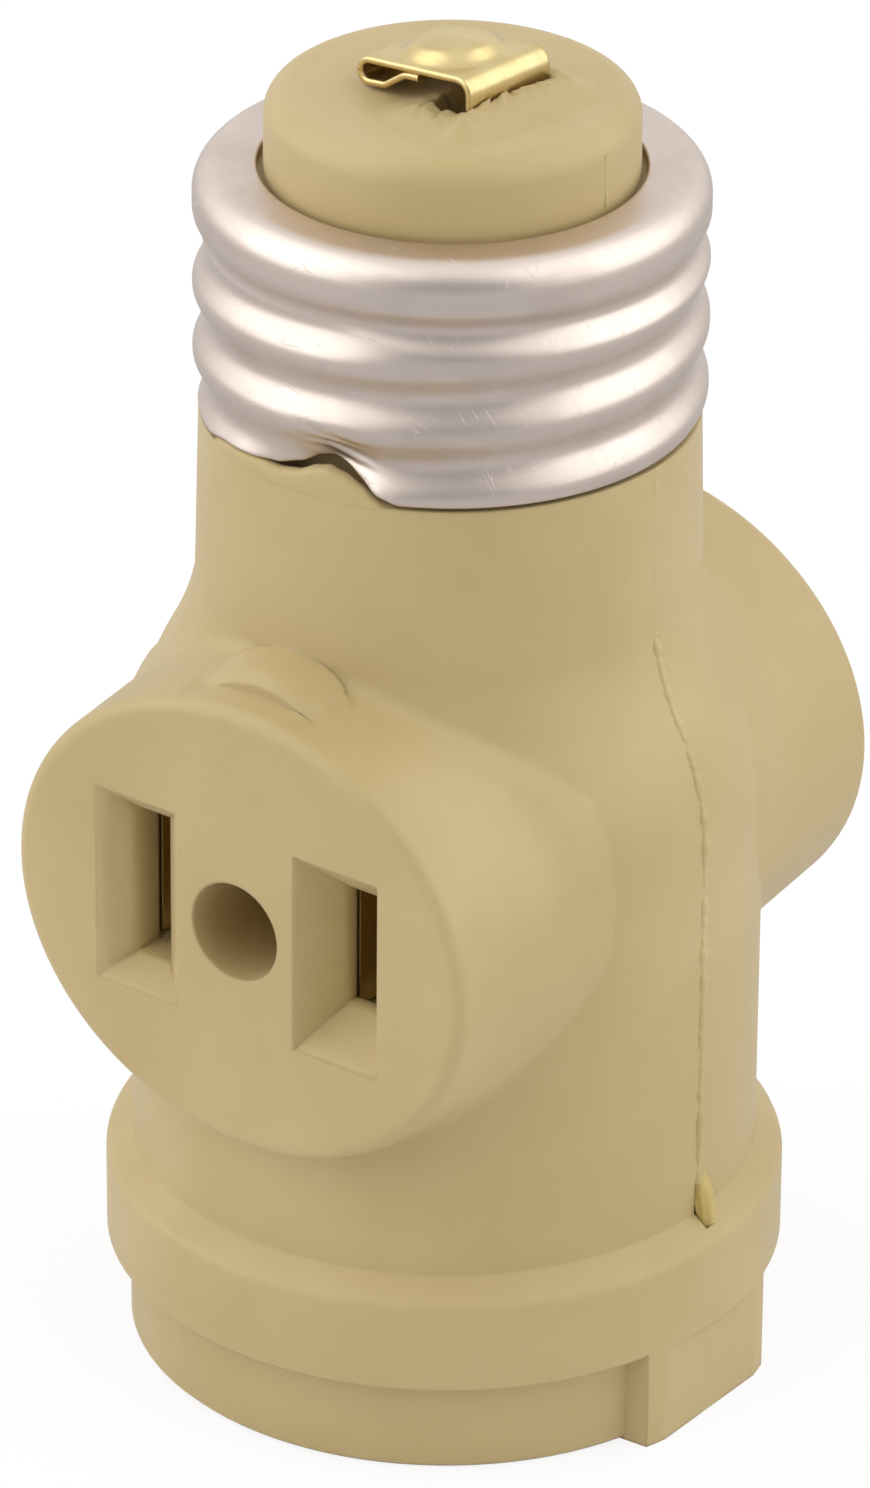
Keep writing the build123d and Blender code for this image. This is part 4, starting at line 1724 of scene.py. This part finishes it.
@dataclass
class Rivets:
    """Domed rivets of the lamp socket and of the long rivet between the outlets."""

    radius: float = 0.8
    head_radius: float = 1.3
    head: float = 0.55
    head_flat: float = 0.75
    head_round: float = 0.4
    head_edge: float = 0.08
    step: float = 0.12
    steps: int = 40
    merge: float = 0.001
    crease: float = 40.0

    def body(self, grip: float) -> bpy.types.Object:
        """Builds one upright rivet.

        Args:
            grip: Thickness of what it clamps above its lower head.

        Returns:
            The rivet's object, not linked to the scene.
        """
        flat = self.head_radius * self.head_flat
        outline = rounded(
            [
                (0.0, -self.head),
                (flat, -self.head),
                (self.head_radius, 0.0),
                (self.radius, 0.0),
                (self.radius, grip),
                (self.head_radius, grip),
                (flat, grip + self.head),
                (0.0, grip + self.head),
            ],
            [0.0, self.head_round, self.head_edge, 0.0, 0.0, self.head_edge, self.head_round, 0.0],
            self.step,
        )
        work = bmesh.new()
        line = [work.verts.new((radius * MM, 0.0, height * MM)) for radius, height in outline]
        edges = [work.edges.new(pair) for pair in zip(line, line[1:])]
        bmesh.ops.spin(
            work, geom=line + edges, axis=(0, 0, 1), cent=(0, 0, 0), steps=self.steps, angle=2 * math.pi
        )
        bmesh.ops.remove_doubles(work, verts=work.verts, dist=self.merge * MM)
        bmesh.ops.recalc_face_normals(work, faces=work.faces)
        shade(work, self.crease)
        mesh = bpy.data.meshes.new("rivet")
        work.to_mesh(mesh)
        work.free()
        return bpy.data.objects.new("rivet", mesh)

    @staticmethod
    def tree() -> bpy.types.NodeTree:
        """Builds the tree that sets a rivet at each point, turned as the tree is told.

        Returns:
            The tree, built at its first use.
        """
        name = "rivet_setting"
        if name in bpy.data.node_groups:
            return bpy.data.node_groups[name]
        bench, given, result = new_tree(
            name,
            "GeometryNodeTree",
            {
                "Places": (SHAPE, None),
                "Rivet": ("NodeSocketObject", None),
                "Turn": ("NodeSocketVector", (0.0, 0.0, 0.0)),
                "Finish": (DRESSING, None),
            },
            {"Rivets": SHAPE},
        )
        rivet = bench.node("GeometryNodeObjectInfo", {"Object": given["Rivet"]})
        turned = bench.node("FunctionNodeEulerToRotation", {0: given["Turn"]})
        placed = bench.node(
            "GeometryNodeInstanceOnPoints",
            {"Points": given["Places"], "Instance": rivet.outputs["Geometry"], "Rotation": turned.outputs[0]},
        )
        bench.feed(result.inputs["Rivets"], bench.dressed(placed.outputs[0], given["Finish"]))
        return bench.tree

    def set_in(
        self, node: str, places: Sequence[Place], grip: float, turn: float, material: bpy.types.Material
    ) -> None:
        """Builds and dresses one set of equal rivets.

        Args:
            node: The CAD node that the set replaces.
            places: Middle of each rivet's lower seat.
            grip: Thickness of what it clamps.
            turn: Turn about X, in degrees.
            material: The finish.
        """
        name = f"{node}_set"
        piece = place_object(name, mesh_of(name, places))
        values = {"Rivet": self.body(grip), "Turn": (math.radians(turn), 0.0, 0.0), "Finish": material}
        settle(piece, self.tree(), values)
        register(piece, "rivet", node)


@dataclass
class Conductors:
    """Rivets of the lamp socket, and the CAD strips that keep their shape."""

    socket_depth: float = PLAN.socket_depth
    shell_sheet: float = PLAN.shell_sheet
    strip_sheet: float = 0.5
    floor: float = 1.6
    tongue_offset: float = 4.5
    flange_middle: float = 10.4
    ring_angle: float = 60.0
    kept: tuple[str, ...] = (
        "hot_contact",
        "neutral_contact",
        "hot_stack_rivet",
        "neutral_stack_rivet",
        "hot_link",
        "neutral_link",
        "hot_riser",
        "neutral_riser",
        "tip_rivet",
        "lamp_tongue",
    )

    def build(self, material: bpy.types.Material) -> None:
        """Sets the rivets and dresses the strips.

        Args:
            material: The finish of both.
        """
        for node in self.kept:
            dress(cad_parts[node], material)
        seat = self.socket_depth - self.shell_sheet
        angle = math.radians(self.ring_angle)
        x, y = self.flange_middle * math.cos(angle), self.flange_middle * math.sin(angle)
        grip = self.floor + self.shell_sheet
        tongue_seat = self.socket_depth - self.strip_sheet
        sets = (
            ("lamp_shell_rivets", [(x, -y, seat), (x, y, seat)], grip),
            ("neutral_link_rivet", [(-self.flange_middle, 0.0, seat)], grip + self.strip_sheet),
            ("tongue_rivet", [(self.tongue_offset, 0.0, tongue_seat)], self.floor + 2 * self.strip_sheet),
        )
        for node, places, thickness in sets:
            Rivets().set_in(node, places, thickness, 0.0, material)


@dataclass
class HousingRivet:
    """Long rivet whose heads sit in the middle holes of the outlets."""

    radius: float = 1.5
    head_radius: float = 2.4
    head: float = 0.9
    seat: float = 10.5

    def build(self, material: bpy.types.Material) -> None:
        """Sets the rivet along Y.

        Args:
            material: Its finish.
        """
        rivets = Rivets(self.radius, self.head_radius, self.head)
        place = (0.0, self.seat, PLAN.outlet_height)
        rivets.set_in("housing_rivet", [place], 2 * self.seat, 90.0, material)


@dataclass
class Studio:
    """Pale floor, soft light and the camera of the photograph.

    The sizes of the lamps and of the floor are in metres, and the powers in watts.
    """

    target: Place = (-0.523, -0.387, 33.7)
    azimuth: float = 36.5
    elevation: float = 27.85
    distance: float = 500.0
    roll: float = 0.44
    focal_pixels: float = 9670.0
    sensor: float = 36.0
    sky_low: float = 0.6 * 1.15
    sky_high: float = 0.6 * 1.1
    mirrored: float = 0.86
    mirrored_front: float = 0.42
    dark_front: float = 0.6
    front_rise: float = 16.0
    floor_side: float = 2.5
    floor_drop: float = 0.02
    floor_colour: float = 0.85
    floor_mirrored: float = 0.6
    floor_seen: float = 1.05
    floor_seen_share: float = 0.8
    lamp_side: float = 0.9
    lamp_aim: Place = (0.0, 0.0, 0.035)
    lamps: tuple[tuple[str, Place, float], ...] = (
        ("left", (-0.34, -0.355, 0.38), 2.6),
        ("right", (0.44, 0.215, 0.38), 2.3),
    )

    def toward(self, rise: float) -> Place:
        """Works out the way to the camera's side.

        Args:
            rise: Its slope over the floor, in degrees.

        Returns:
            The way, of length 1.
        """
        turn, slope = math.radians(self.azimuth), math.radians(rise)
        return (math.sin(turn) * math.cos(slope), -math.cos(turn) * math.cos(slope), math.sin(slope))

    def camera(self) -> None:
        """Adds the camera at the photograph's angle."""
        away = Vector(self.toward(self.elevation))
        data = bpy.data.cameras.new("camera")
        data.sensor_fit = "VERTICAL"
        data.sensor_height = self.sensor
        data.lens = self.focal_pixels / PHOTO_HEIGHT * self.sensor
        data.clip_start = 0.01
        data.clip_end = 10.0
        camera = place_object("camera", data)
        aim = away.to_track_quat("Z", "Y").to_matrix().to_4x4()
        place = Matrix.Translation((Vector(self.target) + away * self.distance) * MM)
        camera.matrix_world = place @ aim @ Matrix.Rotation(math.radians(self.roll), 4, "Z")
        bpy.context.scene.camera = camera

    def lamp(self, name: str, place: Place, power: float) -> None:
        """Adds a soft square lamp that faces the adapter.

        Args:
            name: The lamp's name.
            place: Where it stands.
            power: Its power.
        """
        data = bpy.data.lights.new(name, "AREA")
        data.size = self.lamp_side
        data.energy = power
        lamp = place_object(name, data)
        lamp.location = place
        lamp.rotation_euler = (Vector(place) - Vector(self.lamp_aim)).to_track_quat("Z", "Y").to_euler()

    def world(self) -> None:
        """Makes a white backdrop for the camera and a graded one for light and reflections."""
        world = bpy.data.worlds.new("studio")
        world.use_nodes = True
        bpy.context.scene.world = world
        world.node_tree.nodes.clear()
        bench = Bench(world.node_tree)
        rays = bench.node("ShaderNodeLightPath").outputs
        place = bench.node("ShaderNodeTexCoord").outputs["Generated"]
        height = bench.node("ShaderNodeSeparateXYZ", {0: place}).outputs[2]
        front = self.toward(self.front_rise)
        dot = bench.node("ShaderNodeVectorMath", {0: place, 1: front}, operation="DOT_PRODUCT")
        facing = dot.outputs["Value"]
        shade_in_front = bench.ramp(facing, low=0.72, high=0.95, start=1.0, end=1.0 - self.dark_front)
        sky = bench.ramp(height, low=0.1, high=0.8, start=self.sky_low, end=self.sky_high)
        soft = bench.math("MULTIPLY", sky, shade_in_front)
        mirrored = bench.ramp(facing, low=0.5, high=0.95, start=1.0, end=self.mirrored_front)
        sharp = bench.math("MULTIPLY", mirrored, self.mirrored)
        level = bench.node("ShaderNodeMix", {0: rays["Is Glossy Ray"], 2: soft, 3: sharp}).outputs[0]
        seen = bench.node("ShaderNodeBackground", {"Strength": 1.0, "Color": WHITE})
        lit = bench.node("ShaderNodeBackground", {"Strength": level, "Color": WHITE})
        straight = bench.math("MAXIMUM", rays["Is Camera Ray"], rays["Is Transmission Ray"])
        outer = bench.node("ShaderNodeMixShader", {0: straight, 1: lit.outputs[0], 2: seen.outputs[0]})
        bench.node("ShaderNodeOutputWorld", {"Surface": outer.outputs[0]})

    def floor_finish(self) -> bpy.types.Material:
        """Makes the floor's material, white to the camera and grey to what mirrors it.

        Returns:
            The material.
        """
        material = bpy.data.materials.new("pale_floor")
        material.use_nodes = True
        material.node_tree.nodes.clear()
        bench = Bench(material.node_tree)
        rays = bench.node("ShaderNodeLightPath").outputs
        seen = bench.math("MAXIMUM", rays["Is Camera Ray"], rays["Is Transmission Ray"])
        share = bench.math("MULTIPLY", seen, self.floor_seen_share)
        grey = self.floor_colour
        matte = bench.node("ShaderNodeBsdfDiffuse", {"Color": (grey, grey, grey, 1.0)})
        dim = bench.node("ShaderNodeEmission", {"Color": WHITE, "Strength": self.floor_mirrored})
        glossy = rays["Is Glossy Ray"]
        lit = bench.node("ShaderNodeMixShader", {0: glossy, 1: matte.outputs[0], 2: dim.outputs[0]})
        white = bench.node("ShaderNodeEmission", {"Color": WHITE, "Strength": self.floor_seen})
        mixed = bench.node("ShaderNodeMixShader", {0: share, 1: lit.outputs[0], 2: white.outputs[0]})
        bench.node("ShaderNodeOutputMaterial", {"Surface": mixed.outputs[0]})
        return material

    def floor(self) -> None:
        """Adds the pale floor, which keeps the adapter's shadow."""
        side, level = self.floor_side, -self.floor_drop * MM
        mesh = bpy.data.meshes.new("floor")
        corners = [(-side, -side, level), (side, -side, level), (side, side, level), (-side, side, level)]
        mesh.from_pydata(corners, [], [(0, 1, 2, 3)])
        floor = place_object("floor", mesh)
        dress(floor, self.floor_finish())

    def build(self) -> None:
        """Sets up the whole studio."""
        self.camera()
        self.world()
        self.floor()
        for name, place, power in self.lamps:
            self.lamp(name, place, power)
        bpy.context.scene.view_settings.view_transform = "Standard"


def main() -> None:
    """Builds the studio and every sub-assembly."""
    logging.basicConfig(level=logging.INFO, format="%(name)s: %(message)s")
    Studio().build()
    beige = Moulding("beige_moulding", (0.56, 0.43, 0.205), (0.52, 0.395, 0.178), 0.42, glow=0.06, edge=0.3)
    flash = Moulding("seam_flash", (0.60, 0.47, 0.23), (0.52, 0.39, 0.165), 0.36, glow=0.12, edge=0.02)
    clear = Moulding("clear_flash", (0.62, 0.485, 0.185), (0.54, 0.41, 0.12), 0.3, glow=0.2, edge=0.02)
    fibre = Moulding("fibre_disc", (0.055, 0.045, 0.038), (0.035, 0.03, 0.027), 0.62, grain_depth=0.012)
    aluminium = SheetMetal("rolled_aluminium", (0.80, 0.695, 0.625), (0.66, 0.565, 0.505), 0.38, Lay.ROUND)
    brass = SheetMetal("bright_brass", (0.79, 0.64, 0.32), (0.62, 0.46, 0.2), 0.3, Lay.ALONG)
    plastic = beige.material()
    metal = aluminium.material()
    gold = brass.material()
    Housing().build(plastic)
    PartingFlash().build(flash.material())
    PocketPlug().build(clear.material())
    NeckLip().build(plastic)
    PlugShell().build(metal)
    LampShell().build(metal)
    TipContact().build(gold)
    Conductors().build(gold)
    HousingRivet().build(gold)
    dress(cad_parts["socket_floor"], fibre.material())


if __name__ == "__main__":
    main()
